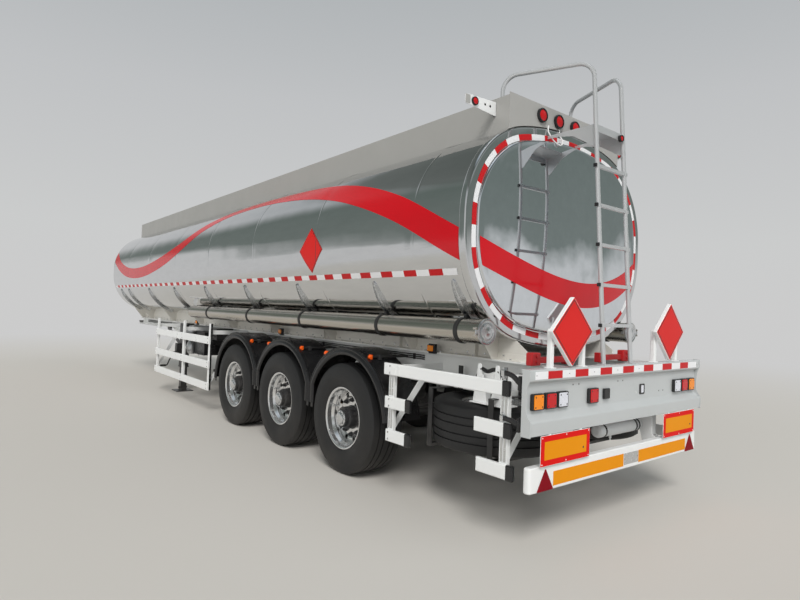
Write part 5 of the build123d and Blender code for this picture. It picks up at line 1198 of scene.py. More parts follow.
# %% Spare wheels lying side by side in the carrier
low, high = (np.array(corner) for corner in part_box("spare_tyres"))
SPARE_MIDDLE = (low + high) / 2
SPARE_OUT = high[1] - TYRE_R
spares = [(SPARE_MIDDLE[0], side * SPARE_OUT, SPARE_MIDDLE[2]) for side in (1, -1)]
for part, form, finish in (("tyre", TYRE, TYRE_RUBBER), ("rim", BARE_RIM, RIM_ALLOY)):
    lying = repeated(laid_flat(form), spares)
    make_piece(f"spare_{part}_dress", lying, [finish], replaces=[f"spare_{part}s"], crease=WHEEL_CREASE)

# %% [markdown]
# ## Mudguards
#
# Each guard is one moulded section swept along an arc over its wheel: a flat sheet, a narrow ridge and
# then a broad roll on the outboard edge. Between two wheels the arcs would cross, so there each goes
# straight down.

# %% Mudguard section, path and lamps
GUARD_SECTION = (
    (0.830, -0.070), (0.830, 0.000), (0.834, 0.003), (1.168, 0.003), (1.174, 0.007), (1.184, 0.010),
    (1.196, 0.009), (1.204, 0.003), (1.207, -0.006), (1.204, -0.015), (1.203, -0.019), (1.208, -0.025),
    (1.213, -0.034), (1.215, -0.046), (1.213, -0.058), (1.207, -0.068), (1.198, -0.073), (1.190, -0.071),
    (1.186, -0.062), (1.184, -0.030), (1.178, -0.006), (1.166, -0.003), (0.836, -0.003), (0.836, -0.070),
)
GUARD_R = 0.710
GUARD_BACK = 0.040
GUARD_Z = 0.502
GUARD_DROP_Z = 0.600
GUARD_MEET = 0.5 * AXLE_SPACING - 0.014
REAR_END, FRONT_END = math.radians(171.0), math.radians(4.0)


def guard_path(number):
    """From the rear end over the top to the front, as (x, z): an arc, with a straight drop where two meet."""
    meet = math.acos(GUARD_MEET / GUARD_R)
    start = REAR_END if number == 0 else math.pi - meet
    end = FRONT_END if number == 2 else meet
    angles = np.linspace(start, end, 49)
    points = np.stack([GUARD_R * np.cos(angles), GUARD_Z + GUARD_R * np.sin(angles)], axis=1)
    if number > 0:
        drop = np.linspace(GUARD_DROP_Z, points[0, 1] - 0.02, 5)
        points = np.vstack([np.column_stack([np.full(5, points[0, 0]), drop]), points])
    if number < 2:
        drop = np.linspace(points[-1, 1] - 0.02, GUARD_DROP_Z, 5)
        points = np.vstack([points, np.column_stack([np.full(5, points[-1, 0]), drop])])
    return points + [REAR_AXLE + number * AXLE_SPACING - GUARD_BACK, 0.0]


def guard_form(number):
    """One guard, with a short tab hung under the ends of its roll, but none at the very rear."""
    path = guard_path(number)
    section = np.array(GUARD_SECTION) - [1.0, 0.0]
    spine = np.column_stack([path[:, 0], np.ones(len(path)), path[:, 1]])
    parts = [sweep(spine, section, Y_WAY)]
    for end in (0, -1):
        x, z = path[end]
        inward = 0.03 if end == 0 else -0.03
        if (number, end) != (0, 0):
            parts.append(
                block((x + inward - 0.022, 1.186, z - 0.050), (x + inward + 0.022, 1.192, z + 0.03), 0.002)
            )
    return join(*parts)


def guard_top(number, reach):
    """The (x, z) of a guard's sheet at a reach ahead of its middle."""
    return REAR_AXLE + number * AXLE_SPACING - GUARD_BACK + reach, GUARD_Z + math.sqrt(GUARD_R**2 - reach**2)


def guard_lamp(number, reach, y):
    """A small reflector with a domed face, standing on the guard's sheet."""
    x, z = guard_top(number, reach)
    lens = lathe([(0, 0.018), (0.008, 0.018), (0.014, 0.013), (0.016, 0.0)], (x, y, z + 0.022), Y_WAY, 20)
    return join(lens, block((x - 0.017, y - 0.022, z - 0.002), (x + 0.017, y + 0.003, z + 0.044), 0.004))


LAMP_REACHES = ((0, -0.335, 1.15), (0, 0.37, 1.19), (1, -0.36, 1.15), (1, 0.36, 1.19), (2, -0.37, 1.15))
make_piece(
    "mudguard_dress",
    both_sides(join(*[guard_form(n) for n in range(3)])),
    [GUARD_PLASTIC],
    replaces=["mudguards"],
)
make_piece("guard_lamps", both_sides(join(*[guard_lamp(*row) for row in LAMP_REACHES])), [ORANGE_LENS])


def guard_rod(number, reach, y):
    """A rod from the frame's side over the guard's sheet to its lamp, with a saddle clamp on the sheet."""
    x, z = guard_top(number, reach)
    z += 0.022
    clamp = block((x - 0.030, y - 0.120, z - 0.030), (x + 0.030, y - 0.085, z + 0.018), 0.004)
    return join(tube([(x, 0.702, z), (x, 0.95, z), (x, y - 0.022, z)], 0.012, Z_WAY, 12), clamp)


rods = join(*[guard_rod(*row) for row in LAMP_REACHES if row[1] < 0])
make_piece("guard_rods", both_sides(rods), [BLACK_PAINT])

# %% [markdown]
# ## Rear end
#
# Everything on the rear faces backward, so a slab that grows that way is the common part: a rounded
# rectangle or any outline in (to the right, up), at a place on the rear, with a thickness toward the
# camera.

# %% Slabs that face the rear
def rear_slab(outline, x, y, z, thick, bevel):
    """A slab whose back lies at x ahead of the rear axle and which grows backward."""
    return slab(outline, (REAR_AXLE + x, y, z), RIGHT_WAY, Z_WAY, thick, bevel)


def rear_patch(width, height, x, y, z, thick, radius=0.0):
    """A thin rectangle of film or plate on a face that looks backward."""
    return rear_slab(oblong(width, height, radius), x, y, z, thick, 0.3 * thick)


def turned(outline, angle):
    """An outline turned about its middle."""
    c, s = math.cos(angle), math.sin(angle)
    return np.asarray(outline) @ np.array([[c, s], [-s, c]])


def screws(places, x, size, tall=0.003):
    """Small domed screws at (y, z) places on a face that looks backward."""
    head = lathe([(0, size), (0.4 * tall, size), (tall, 0.5 * size), (tall, 0)], ORIGIN, REAR_WAY, 12)
    return repeated(head, [(REAR_AXLE + x, y, z) for y, z in places])


# %% The folded rear panel
PANEL_HALF = 1.237
WEB_X = -2.226
STRIP_X, STRIP_Z = -2.262, 1.191
OUTER_FOLDS = (
    (-2.189, 1.230), (STRIP_X, 1.230), (STRIP_X, 1.152), (WEB_X, 1.138), (WEB_X, 0.930), (-2.280, 0.890),
    (-2.275, 0.797),
)
INNER_FOLDS = (
    (-2.189, 1.224), (-2.256, 1.224), (-2.256, 1.156), (-2.220, 1.142), (-2.220, 0.926), (-2.274, 0.887),
    (-2.269, 0.797),
)
END_EDGE = (
    (-2.268, 1.234), (-2.269, 1.176), (-2.262, 1.146), (-2.247, 1.110), (-2.240, 1.040), (-2.241, 0.975),
    (-2.252, 0.930), (-2.284, 0.893), (-2.282, 0.791),
)


def folded_sheet(rear, front, left_y, right_y):
    """Sheet between a rear and a front line of (x, z) with as many points, from one y to another."""
    rear, front = np.asarray(rear, float), np.asarray(front, float)
    count = len(rear)
    ring = np.vstack([rear, front[::-1]])
    rows = [
        np.column_stack([REAR_AXLE + ring[:, 0], np.full(2 * count, y), ring[:, 1]])
        for y in (left_y, right_y)
    ]
    form = grid(np.stack(rows), close_columns=True)
    near = np.arange(count - 1)
    far = 2 * count - 1 - near
    cap = np.stack([near, near + 1, far - 1, far], axis=1)
    return Form(form.points, form.groups + [cap, cap + 2 * count])


def panel_form():
    """The folded sheet over the whole width, and an end plate with a hollow rear edge at each end."""
    sheet = folded_sheet(
        rounded_path(OUTER_FOLDS, 0.012, 5), rounded_path(INNER_FOLDS, 0.010, 5), PANEL_HALF, -PANEL_HALF
    )
    edge = rounded_path(END_EDGE, 0.016, 4)
    back = np.column_stack([np.full(len(edge), -2.206), edge[:, 1]])
    end = folded_sheet(edge, back, 1.2435, 1.2365)
    seats = [axle_block((-2.222, s * 0.54, 0.931), (-2.186, s * 0.70, 1.214)) for s in (1, -1)]
    return join(sheet, both_sides(end), *seats)


HOLE_PLACES = [
    (y + shift, z)
    for y, z in ((0.700, 1.105), (0.700, 0.905), (-0.560, 0.985), (0.10, 1.10))
    for shift in (0.0, -0.072)
]
make_piece("panel_dress", panel_form(), [PANEL_PAINT], replaces=["rear_panel"], crease=28.0)
# Each hole in the web is a dark disc a little proud of it: painted shade in place of the hole.
holes = [rear_patch(0.012, 0.012, WEB_X, y, z, 0.0010, 0.0058) for y, z in HOLE_PLACES]
rivets = screws([(y, STRIP_Z) for y in (1.165, -1.19, 0.80, 0.49, 0.17, -0.15)], STRIP_X, 0.005)
make_piece("panel_hole_shade", join(*holes), [DARK_MARK_AND_SHADE])
make_piece("panel_rivets", rivets, [MILL_BRIGHT])

# %% Red and white tape along the top strip
TAPE_REDS = (
    (1.043, 0.882), (0.728, 0.568), (0.410, 0.252), (0.093, -0.070), (-0.227, -0.381), (-0.540, -0.704),
    (-0.861, -1.013),
)
STRIP_HIGH = 0.052
tape = [rear_patch(2.36, STRIP_HIGH, STRIP_X, 0.0, STRIP_Z, 0.0010).painted(0)]
tape += [
    rear_patch(a - b, STRIP_HIGH, STRIP_X, (a + b) / 2, STRIP_Z, 0.0018).painted(1) for a, b in TAPE_REDS
]
make_piece("panel_tape", join(*tape), [WHITE_TAPE, RED_TAPE])

# %% Rear lamps in black housings
# Each row is (middle y, lens number): 0 red, 1 amber, 2 clear.
LAMP_ROWS = ((1.120, 1), (0.980, 0), (0.845, 2), (0.462, 0), (-0.853, 2), (-0.988, 0), (-1.124, 1))
LAMP_WIDE, LAMP_HIGH, LAMP_Z = 0.126, 0.112, 1.013


def lamp_form(y, lens):
    """A housing with rounded corners, and a lens that stands out of it a little, with four screws' seats."""
    housing = rear_slab(oblong(LAMP_WIDE, LAMP_HIGH, 0.014), WEB_X, y, LAMP_Z, 0.024, 0.003).painted(3)
    pane = rear_slab(
        oblong(LAMP_WIDE - 0.026, LAMP_HIGH - 0.016, 0.010), WEB_X - 0.023, y, LAMP_Z, 0.007, 0.004
    ).painted(lens)
    dimples = screws(
        [(y + a, LAMP_Z + b) for a in (-0.036, 0.036) for b in (-0.034, 0.034)], WEB_X - 0.0295, 0.006, 0.002
    ).painted(3)
    return join(housing, pane, dimples)


box = rear_slab(oblong(0.076, 0.080, 0.008), WEB_X, 0.279, 1.015, 0.022, 0.004).painted(3)
plate = join(
    rear_patch(0.080, 0.084, WEB_X, -0.270, 1.017, 0.006, 0.010).painted(3),
    rear_patch(0.036, 0.060, WEB_X - 0.005, -0.270, 1.017, 0.003, 0.004).painted(2),
)
make_piece(
    "rear_lamp_dress",
    join(*[lamp_form(*row) for row in LAMP_ROWS], box, plate),
    [RED_LENS, AMBER_LENS, CLEAR_LENS, BLACK_GLOSS],
    replaces=["rear_lamps"],
)

# %% Sign boxes on their posts, with blank faces
SIGN_PLACES = ((0.799, 1.484), (-0.624, 1.488))
POST_MIDDLES = (0.785, -0.640)
SIGN_SIDE = 0.345


def sign_form(y, z):
    """A square box on its corner: white body, red face, a thin dark line set in from the edge."""
    def square(side, radius):
        return turned(oblong(side, side, radius), math.pi / 4)

    body = rear_slab(square(SIGN_SIDE, 0.010), -2.248, y, z, 0.034, 0.003).painted(0)
    face = rear_slab(square(SIGN_SIDE - 0.010, 0.008), -2.2818, y, z, 0.0010, 0.0003).painted(1)
    line = rear_slab(square(SIGN_SIDE - 0.028, 0.006), -2.2826, y, z, 0.0007, 0.0002).painted(2)
    field = rear_slab(square(SIGN_SIDE - 0.042, 0.005), -2.2830, y, z, 0.0008, 0.0002).painted(1)
    return join(body, face, line, field)


def sign_posts(y):
    """Two square posts on foot plates, with a strap between them behind the box."""
    forms = []
    for side in (1, -1):
        post_y = y + side * 0.188
        forms.append(axle_block((-2.242, post_y - 0.019, 1.232), (-2.204, post_y + 0.019, 1.500), 0.005))
        forms.append(axle_block((-2.254, post_y - 0.032, 1.2295), (-2.196, post_y + 0.032, 1.2365), 0.002))
    forms.append(axle_block((-2.249, y - 0.200, 1.469), (-2.241, y + 0.200, 1.499), 0.002))
    return join(*forms).painted(0)


signs = [sign_form(*place) for place in SIGN_PLACES] + [sign_posts(y) for y in POST_MIDDLES]
make_piece(
    "sign_dress", join(*signs), [WHITE_PAINT, SIGN_RED, DARK_MARK_AND_SHADE], replaces=["sign_boxes"], crease=28.0
)

# %% Marker plates: red border, orange-yellow field, small screws
MARKER_Y, MARKER_Z = 0.8365, 0.690


def marker_form(side):
    """The plate, its red sheet, its field, six screws and the two hangers behind it."""
    y = side * MARKER_Y
    board = rear_patch(0.572, 0.206, -2.2750, y, MARKER_Z, 0.0030, 0.006).painted(0)
    red = rear_patch(0.566, 0.200, -2.2780, y, MARKER_Z, 0.0010, 0.004).painted(1)
    field = rear_patch(0.486, 0.122, -2.2790, y, MARKER_Z, 0.0008).painted(2)
    places = [(y + a, MARKER_Z + b) for a in (-0.268, 0.0, 0.268) for b in (-0.088, 0.088)]
    dot = screws([(y - 0.205, MARKER_Z - 0.025)], -2.2795, 0.008, 0.003).painted(3)
    hangers = [
        axle_block((-2.275, y + s * 0.18 - 0.012, 0.592), (-2.262, y + s * 0.18 + 0.012, 0.800))
        for s in (1, -1)
    ]
    return join(board, red, field, screws(places, -2.2785, 0.005).painted(0), dot, join(*hangers).painted(0))


make_piece(
    "marker_dress", join(marker_form(1), marker_form(-1)),
    [WHITE_PAINT, BRIGHT_RED, BRIGHT_YELLOW, DARK_MARK_AND_SHADE],
    replaces=["marker_plates"],
)

# %% Underrun bar with its tape, plate and triangles
BAR_LOW, BAR_HIGH = 0.415, 0.585
BAR_X, MARKS_Z = -2.2600, 0.490


def bar_form():
    """A long oblong seen from above, as tall as its sheet, with an arm of folded plate to each beam."""
    outline = oblong(0.060, 2.412, 0.026, steps=7) + [-2.230, 0.0]
    bar = slab(outline, (REAR_AXLE, 0, BAR_LOW), X_WAY, Y_WAY, BAR_HIGH - BAR_LOW, 0.007)
    arm = [
        (-2.212, 0.436), (-2.212, 0.565), (-2.155, 0.610), (-2.155, 0.930), (-1.975, 0.930), (-2.100, 0.440)
    ]
    sides = [
        slab(rounded(arm, 0.010, 3), (REAR_AXLE, s * 0.62 + shift, 0), X_WAY, Z_WAY, 0.008, 0.002)
        for s in (1, -1)
        for shift in (0.035, -0.027)
    ]
    backs = [
        axle_block((-2.163, s * 0.62 - 0.035, 0.590), (-2.155, s * 0.62 + 0.035, 0.930)) for s in (1, -1)
    ]
    return join(bar, *sides, *backs)


def bar_marks():
    """Long yellow tape in two runs, a bare plate between them, and a triangle near each end."""
    runs = [(0.950, 0.045), (-0.183, -1.000)]
    forms = [rear_patch(a - b, 0.098, BAR_X, (a + b) / 2, 0.487, 0.0012).painted(0) for a, b in runs]
    forms.append(rear_patch(0.216, 0.088, BAR_X, -0.069, MARKS_Z, 0.0025, 0.004).painted(1))
    forms.append(screws([(-0.069 + s * 0.095, MARKS_Z) for s in (1, -1)], BAR_X - 0.0025, 0.004).painted(1))
    triangle = rounded([(-0.090, -0.071), (0.090, -0.071), (0.0, 0.078)], 0.009, 4)
    forms += [rear_slab(triangle, BAR_X, y, MARKS_Z, 0.0060, 0.002).painted(2) for y in (1.040, -1.080)]
    return join(*forms)


make_piece("bar_dress", bar_form(), [WHITE_PAINT], replaces=["underrun_bar"], crease=28.0)
make_piece("bar_marks", bar_marks(), [BRIGHT_YELLOW, MILL_BRIGHT, TRIANGLE_RED])

# %% Red tow brackets behind the panel, with their bolts
def tow_bracket(outer, inner):
    """A flat bar with a taller ear at its outer end, standing on the frame's rear cross member."""
    way = math.copysign(1.0, outer - inner)
    bar = axle_block((-1.970, inner + way * 0.01, 1.232), (-1.930, outer - way * 0.01, 1.276))
    ear = axle_block((-1.985, outer - way * 0.105, 1.216), (-1.925, outer, 1.312), 0.006)
    inner_ear = axle_block((-1.980, inner, 1.216), (-1.925, inner + way * 0.045, 1.296), 0.004)
    bolts = [bolt_head((REAR_AXLE - 1.985, outer - way * 0.052, z), REAR_WAY, 0.010) for z in (1.245, 1.285)]
    return join(bar, ear, inner_ear, *bolts)


make_piece("tow_brackets", join(tow_bracket(0.860, 0.380), tow_bracket(-0.505, -0.040)), [RED_PAINT])

# %% Lamps on top: thick rubber rings, a domed lens, and the marker lamp on each arm
TOP_LAMP_YS, TOP_LAMP_Z = (0.396, 0.167, -0.069), 3.256


def round_lamp(x, y, z, radius, proud=1.0):
    """A ring of rubber with a domed lens, facing the rear: proud scales how far both stand out."""
    ring = [
        (0, 0.0), (0, radius), (0.018, radius), (0.024, 0.96 * radius), (0.026, 0.90 * radius),
        (0.024, 0.80 * radius), (0.018, 0.76 * radius),
    ]
    lens = [
        (0.017, 0.78 * radius), (0.020, 0.74 * radius), (0.024, 0.50 * radius), (0.026, 0.25 * radius),
        (0.027, 0),
    ]
    place = (REAR_AXLE + x, y, z)
    ring, lens = ([(proud * along, out) for along, out in outline] for outline in (ring, lens))
    return join(lathe(ring, place, REAR_WAY, 48).painted(1), lathe(lens, place, REAR_WAY, 48).painted(0))


def arm_form():
    """The lamp arm: a white plate from the coaming, a grey tip, two holes as painted shade and its red lamp.
    """
    plate = rounded([(-0.780, 0.058), (-1.150, 0.040), (-1.150, -0.034), (-0.780, -0.060)], 0.012, 4)
    body = rear_slab(plate, -1.500, 0, 3.243, -0.005, 0.001).painted(2)
    tip = rear_slab(oblong(0.052, 0.068, 0.010), -1.501, 1.124, 3.246, 0.0015, 0.0004).painted(3)
    hole = oblong(0.020, 0.020, 0.0098)
    # Each hole is a thin black disc on the plate: painted shade where the hole would be.
    holes = [rear_slab(hole, -1.5001, y, 3.250, 0.0012, 0.0002).painted(1) for y in (0.870, 0.930)]
    foot = axle_block((-1.506, 0.775, 3.180), (-1.470, 0.800, 3.305), 0.003).painted(3)
    return join(body, tip, *holes, foot, round_lamp(-1.500, 1.050, 3.244, 0.034, proud=0.6))


lamps = [round_lamp(-1.643, y, TOP_LAMP_Z, 0.060) for y in TOP_LAMP_YS]
make_piece(
    "top_lamp_dress", join(*lamps, both_sides(arm_form())), [RED_LENS, BLACK_GLOSS, WHITE_PAINT, GREY_PAINT],
    replaces=["top_lamps", "lamp_arms"],
)

# %% Cable loop under the lamps
loop = smooth_curve(
    [
        (-1.645, 0.30, 3.195), (-1.655, 0.31, 3.135), (-1.690, 0.27, 3.055), (-1.715, 0.22, 3.030),
        (-1.700, 0.17, 3.075), (-1.655, 0.15, 3.140), (-1.645, 0.15, 3.195),
    ],
    60,
)
make_piece("lamp_cable", tube(loop + [REAR_AXLE, 0.0, 0.0], 0.006, X_WAY, 8), [WHITE_PAINT])

# %% Ladder trim: black plugs in the rungs' left ends and a red lamp under the step
LADDER_Y, LADDER_HALF, STICK_OUT, RUNG_HALF = 0.105, 0.197, 0.032, 0.013
LADDER_FOOT, LADDER_HEAD = (-2.220, 1.230), (-2.062, 3.605)


def ladder_x(z):
    """The rails' x at a height: a straight line from the foot to the head."""
    share = (z - LADDER_FOOT[1]) / (LADDER_HEAD[1] - LADDER_FOOT[1])
    return REAR_AXLE + LADDER_FOOT[0] + share * (LADDER_HEAD[0] - LADDER_FOOT[0])


def rung_plug(z):
    """A plug a little wider than the rung, in its left end."""
    x, end_y, half = ladder_x(z), LADDER_Y + LADDER_HALF + STICK_OUT, RUNG_HALF + 0.0008
    return block((x - half, end_y - 0.012, z - half), (x + half, end_y + 0.004, z + half), 0.002)


make_piece("rung_plugs", join(*[rung_plug(1.530 + 0.310 * n) for n in range(5)]), [BLACK_GLOSS])
make_piece("step_lamp", round_lamp(-2.098, -0.045, 3.060, 0.028), [RED_LENS, BLACK_GLOSS])

# %% Rear guard ends: black caps on the boards, clamps, and curved arms to the panel
# Each row is (the board's rear end ahead of the rear axle, middle height).
CAP_ROWS = ((-2.090, 1.085), (-1.065, 0.803), (-2.110, 0.803), (-1.070, 0.525), (-2.140, 0.525))
caps = [axle_block((x - 0.004, 1.211, z - 0.053), (x + 0.058, 1.2435, z + 0.053), 0.006) for x, z in CAP_ROWS]
front_edges = [
    axle_block((x - 0.001, 1.2165, z - 0.047), (x + 0.0015, 1.2385, z + 0.047), 0.001)
    for x, z in ((-0.7115, 1.085), (-0.7365, 0.803), (-1.7815, 0.803), (-0.7615, 0.525), (-1.8115, 0.525))
]


def hinge_arm(z, drop):
    """A black arm that bends from the rear post to a flange on the panel's end plate, with a bright clamp."""
    corners = [
        (-2.028, 1.222, z), (-2.080, 1.226, z), (-2.128, 1.229, z - 0.3 * drop), (-2.168, 1.229, z - drop)
    ]
    path = rounded_path(corners, 0.05, 8)
    bar = sweep(path + [REAR_AXLE, 0, 0], oblong(0.020, 0.034, 0.008), Y_WAY).painted(0)
    flange = axle_block(
        (-2.188, 1.208, z - drop - 0.052), (-2.163, 1.240, z - drop + 0.046), 0.006
    ).painted(0)
    clamp = axle_block((-2.046, 1.190, z - 0.024), (-2.012, 1.236, z + 0.024), 0.006).painted(1)
    hinge_pin = pin(-0.04, 0.036, 0.008, (REAR_AXLE - 2.030, 1.224, z), Z_WAY, 12).painted(1)
    return join(bar, flange, clamp, hinge_pin)


top_stub = axle_block((-2.044, 1.192, 1.120), (-2.016, 1.210, 1.225), 0.003).painted(1)
hinges = join(hinge_arm(1.188, 0.052), hinge_arm(0.882, 0.020), top_stub)
make_piece("guard_caps", both_sides(join(*caps, *front_edges)), [BLACK_GLOSS])
make_piece("guard_hinges", both_sides(hinges), [BLACK_GLOSS, MILL_BRIGHT])

# %% A small light reservoir with black bands behind the underrun bar
tank_path = [
    (0.0, 0.0), (0.0, 0.030), (0.012, 0.047), (0.030, 0.054), (0.630, 0.054), (0.648, 0.047), (0.660, 0.030),
    (0.660, 0.0),
]
SMALL_X, SMALL_Z = REAR_AXLE - 2.045, 0.672
small_tank = lathe(tank_path, (SMALL_X, -0.560, SMALL_Z), Y_WAY, 32).painted(0)
band = [(-0.009, 0.053), (-0.009, 0.057), (0.009, 0.057), (0.009, 0.053)]
bands = [
    lathe(band, (SMALL_X, y, SMALL_Z), Y_WAY, 32, closed=True).painted(1) for y in (-0.50, -0.455, 0.02)
]
drain = lathe(
    [(0, 0.0), (0, 0.010), (0.022, 0.010), (0.026, 0.006), (0.040, 0.006), (0.040, 0)],
    (SMALL_X, -0.120, SMALL_Z - 0.052), DOWN_WAY, 12,
)
make_piece("rear_reservoir", join(small_tank, *bands, drain.painted(0)), [WHITE_PAINT, BLACK_GLOSS])

# %% [markdown]
# ## Along the sides
#
# Guards, hose tubes, saddle and lamps repeat along the trailer, so each is made once and copied to its
# stations.

# %% Grooved guard posts
POST_WIDE = 0.070


def post_skin(x, low_z, high_z):
    """A guard post's outer face as rolled: two low ribs with a groove between, a little proud of the post."""
    half = POST_WIDE / 2 - 0.006
    ribs = []
    for side in (1, -1):
        low_x, high_x = (x + side * half / 2 + end * half / 2 - end * 0.004 for end in (-1, 1))
        ribs.append(block((low_x, 1.2152, low_z), (high_x, 1.2185, high_z), 0.0012))
    return join(*ribs)


rear_skins = [
    post_skin(REAR_AXLE + x, low, high)
    for x in (-0.795, -2.040)
    for low, high in ((0.585, 0.745), (0.863, 1.028))
]
make_piece("post_ribs", both_sides(join(*rear_skins)), [MILL_BRIGHT])
# Painted shade: a thin black sheet over the rear face of the front guard's rear post.
post_back_shade = axle_block((3.462, 1.186, 0.337), (3.4645, 1.214, 1.298), 0.0008)
make_piece("guard_post_shade", post_back_shade, [BLACK_GLOSS])
# The front guard's posts stand a little above their arms.
post_tops = [
    axle_block((x - 0.034, side * 1.186, 1.200), (x + 0.034, side * 1.214, 1.298))
    for x, side in ((3.500, 1), (4.650, 1), (6.050, 1), (5.050, -1), (6.050, -1))
]
make_piece("guard_post_tops", join(*post_tops), [WHITE_PAINT])


def guard_bolts(stations, heights):
    """Two domed bolts where each board crosses a post."""
    dome = lathe([(0, 0.009), (0.002, 0.009), (0.005, 0.006), (0.006, 0)], (0, 1.2395, 0), Y_WAY, 12)
    return repeated(
        dome, [(REAR_AXLE + x, 0, z + s * 0.028) for x in stations for z in heights for s in (1, -1)]
    )


REAR_BOARDS, FRONT_BOARDS = (1.085, 0.803, 0.525), (1.055, 0.705, 0.390)
for side_name, stations in (("left", (3.50, 4.65, 6.05)), ("right", (5.05, 6.05))):
    bolts = join(guard_bolts((-0.795,), REAR_BOARDS), guard_bolts(stations, FRONT_BOARDS))
    make_piece(f"guard_bolts_{side_name}", bolts if side_name == "left" else bolts.mirrored(), [MILL_BRIGHT])

# %% Hose tubes: rubber straps with ears, and ringed caps that turn with their hinge
HOSE_Y, HOSE_Z, HOSE_R = 1.036, 1.450, 0.095
STRAP_STATIONS = (-1.45, -0.42, 1.03, 2.45, 3.92)


# A strap's section is (along the tube, above its surface).
STRAP_SECTION = (
    (-0.019, -0.001), (-0.019, 0.004), (-0.014, 0.0075), (0.014, 0.0075), (0.019, 0.004), (0.019, -0.001),
)
strap_ring = [(x, HOSE_R + above) for x, above in STRAP_SECTION]
strap = lathe(strap_ring, (0, HOSE_Y, HOSE_Z), X_WAY, 56, closed=True)
straps = repeated(strap, [(REAR_AXLE + x, 0, 0) for x in STRAP_STATIONS])
ears = [axle_block((x - 0.012, 0.992, 1.540), (x + 0.012, 1.032, 1.580), 0.006) for x in STRAP_STATIONS]
make_piece("strap_bands", both_sides(join(straps, *ears)), [STRAP_RUBBER])


def cap_trim(side):
    """Pressed rings on a hose cap's face and a boss in the middle."""
    face = lathe(
        [(0.0, 0.098), (0.003, 0.096), (0.004, 0.090), (0.001, 0.085), (0.001, 0.072)], ORIGIN, REAR_WAY, 48
    )
    outline = [
        (0.0, 0.071), (0.0, 0.0695), (0.0035, 0.066), (0.0045, 0.056), (0.002, 0.052), (0.002, 0.020),
        (0.004, 0.016), (0.004, 0),
    ]
    boss = lathe(outline, (-0.005, 0, 0), REAR_WAY, 48)
    return join(face, boss).moved(REAR_AXLE - 1.7005, side * HOSE_Y, HOSE_Z)


for side, side_name in ((1, "left"), (-1, "right")):
    make_piece(f"cap_trim_{side_name}", cap_trim(side), [MILL_BRIGHT], body=f"hose_cap_{side_name}")
    hasp = axle_block((-1.683, side * 0.934 - 0.006, 1.435), (-1.655, side * 0.934 + 0.006, 1.465), 0.003)
    make_piece(f"cap_hasp_{side_name}", hasp, [MILL_BRIGHT])

# %% Saddle: bolts along the frame's flange, stiffeners, and the marker lamps
def saddle_angle():
    """The angle that ties the saddle's web to the frame's top flange, over the whole length."""
    outline = [(0.624, 1.215), (0.690, 1.215), (0.690, 1.221), (0.632, 1.223), (0.630, 1.268), (0.624, 1.268)]
    return slab(rounded(outline, 0.0015, 2), (REAR_AXLE - 1.740, 0, 0), Y_WAY, Z_WAY, 10.98, 0.001)


BOLT_PITCH = 0.205
flange_bolts = repeated(
    bolt_head((0, 0.664, 1.221), Z_WAY, 0.011, 0.009),
    [(REAR_AXLE - 1.62 + BOLT_PITCH * n, 0, 0) for n in range(53)],
)
web_bolts = repeated(
    bolt_head((0, 0.630, 1.248), Y_WAY, 0.009, 0.007),
    [(REAR_AXLE - 1.52 + BOLT_PITCH * n, 0, 0) for n in range(53)],
)
stiffeners = [
    axle_block((x + 0.22, 0.624, 1.222), (x + 0.226, 0.664, 1.380), 0.001) for x in RIB_STATIONS[:-1]
]
make_piece("saddle_angles", both_sides(join(saddle_angle(), *stiffeners)), [SADDLE_PAINT])
make_piece("saddle_bolts", both_sides(join(flange_bolts, web_bolts)), [MILL_BRIGHT])


def marker_lamp(x):
    """A square amber lens in a black base, on the frame's edge."""
    base = block((x - 0.055, 0.700, 1.203), (x + 0.055, 0.712, 1.293), 0.004).painted(1)
    rim = slab(oblong(0.096, 0.066, 0.012), (x, 0.735, 1.252), X_WAY, Z_WAY, 0.023, 0.003).painted(1)
    lens = slab(oblong(0.078, 0.052, 0.010), (x, 0.744, 1.252), X_WAY, Z_WAY, 0.011, 0.004).painted(0)
    return join(base, rim, lens)


markers = both_sides(join(*[marker_lamp(REAR_AXLE + x) for x in (5.480, 2.250, -0.740)]))
make_piece("marker_lamps", markers, [AMBER_LENS, BLACK_GLOSS], replaces=["side_markers"])

# %% Spare wheel brackets behind the left guard
def hanger_bracket(x):
    """A bracket on the frame's side: an arm, a tapered cheek, a round-topped ear, a web and a foot plate."""
    cheek = rounded([(-0.030, 1.130), (0.030, 1.130), (0.072, 0.910), (-0.072, 0.910)], 0.010, 3)
    ear = rounded([(-0.030, 1.060), (-0.017, 1.205), (0.017, 1.205), (0.030, 1.060)], 0.016, 5)
    web = block((x - 0.006, 0.868, 0.912), (x + 0.006, 0.984, 1.126), 0.002)
    arm = block((x - 0.030, 0.701, 1.060), (x + 0.030, 0.872, 1.126), 0.003)
    foot = block((x - 0.088, 0.862, 0.900), (x + 0.088, 1.012, 0.909), 0.002)
    plates = [
        slab(cheek, (x, 0.990, 0), X_WAY, Z_WAY, 0.006, 0.0012),
        slab(ear, (x, 1.000, 0), X_WAY, Z_WAY, 0.008, 0.0015),
    ]
    return join(*plates, web, arm, foot)


BRACKETS = (-1.600, -1.780)
make_piece("hanger_brackets", join(*[hanger_bracket(REAR_AXLE + x) for x in BRACKETS]), [WHITE_PAINT])
hose = smooth_curve(
    [
        (-1.80, 0.975, 1.10), (-1.79, 0.985, 1.155), (-1.73, 0.980, 1.168), (-1.67, 0.985, 1.150),
        (-1.61, 0.985, 1.162), (-1.56, 0.975, 1.10),
    ],
    40,
)
make_piece("bracket_hose", tube(hose + [REAR_AXLE, 0, 0], 0.016, Z_WAY, 10), [BLACK_GLOSS])

# %% [markdown]
# ## Under the frame and on the roof
#
# What sits low or on top shows less in the photograph, but the model turns, so each of these pieces gets
# the parts that make it what it is: bellows, bands, gearbox, clamps and treads.

# %% Air springs as bellows on a piston
SPRING_BEHIND, SPRING_LOW, BEAM_Y = 0.365, 0.640, 0.620


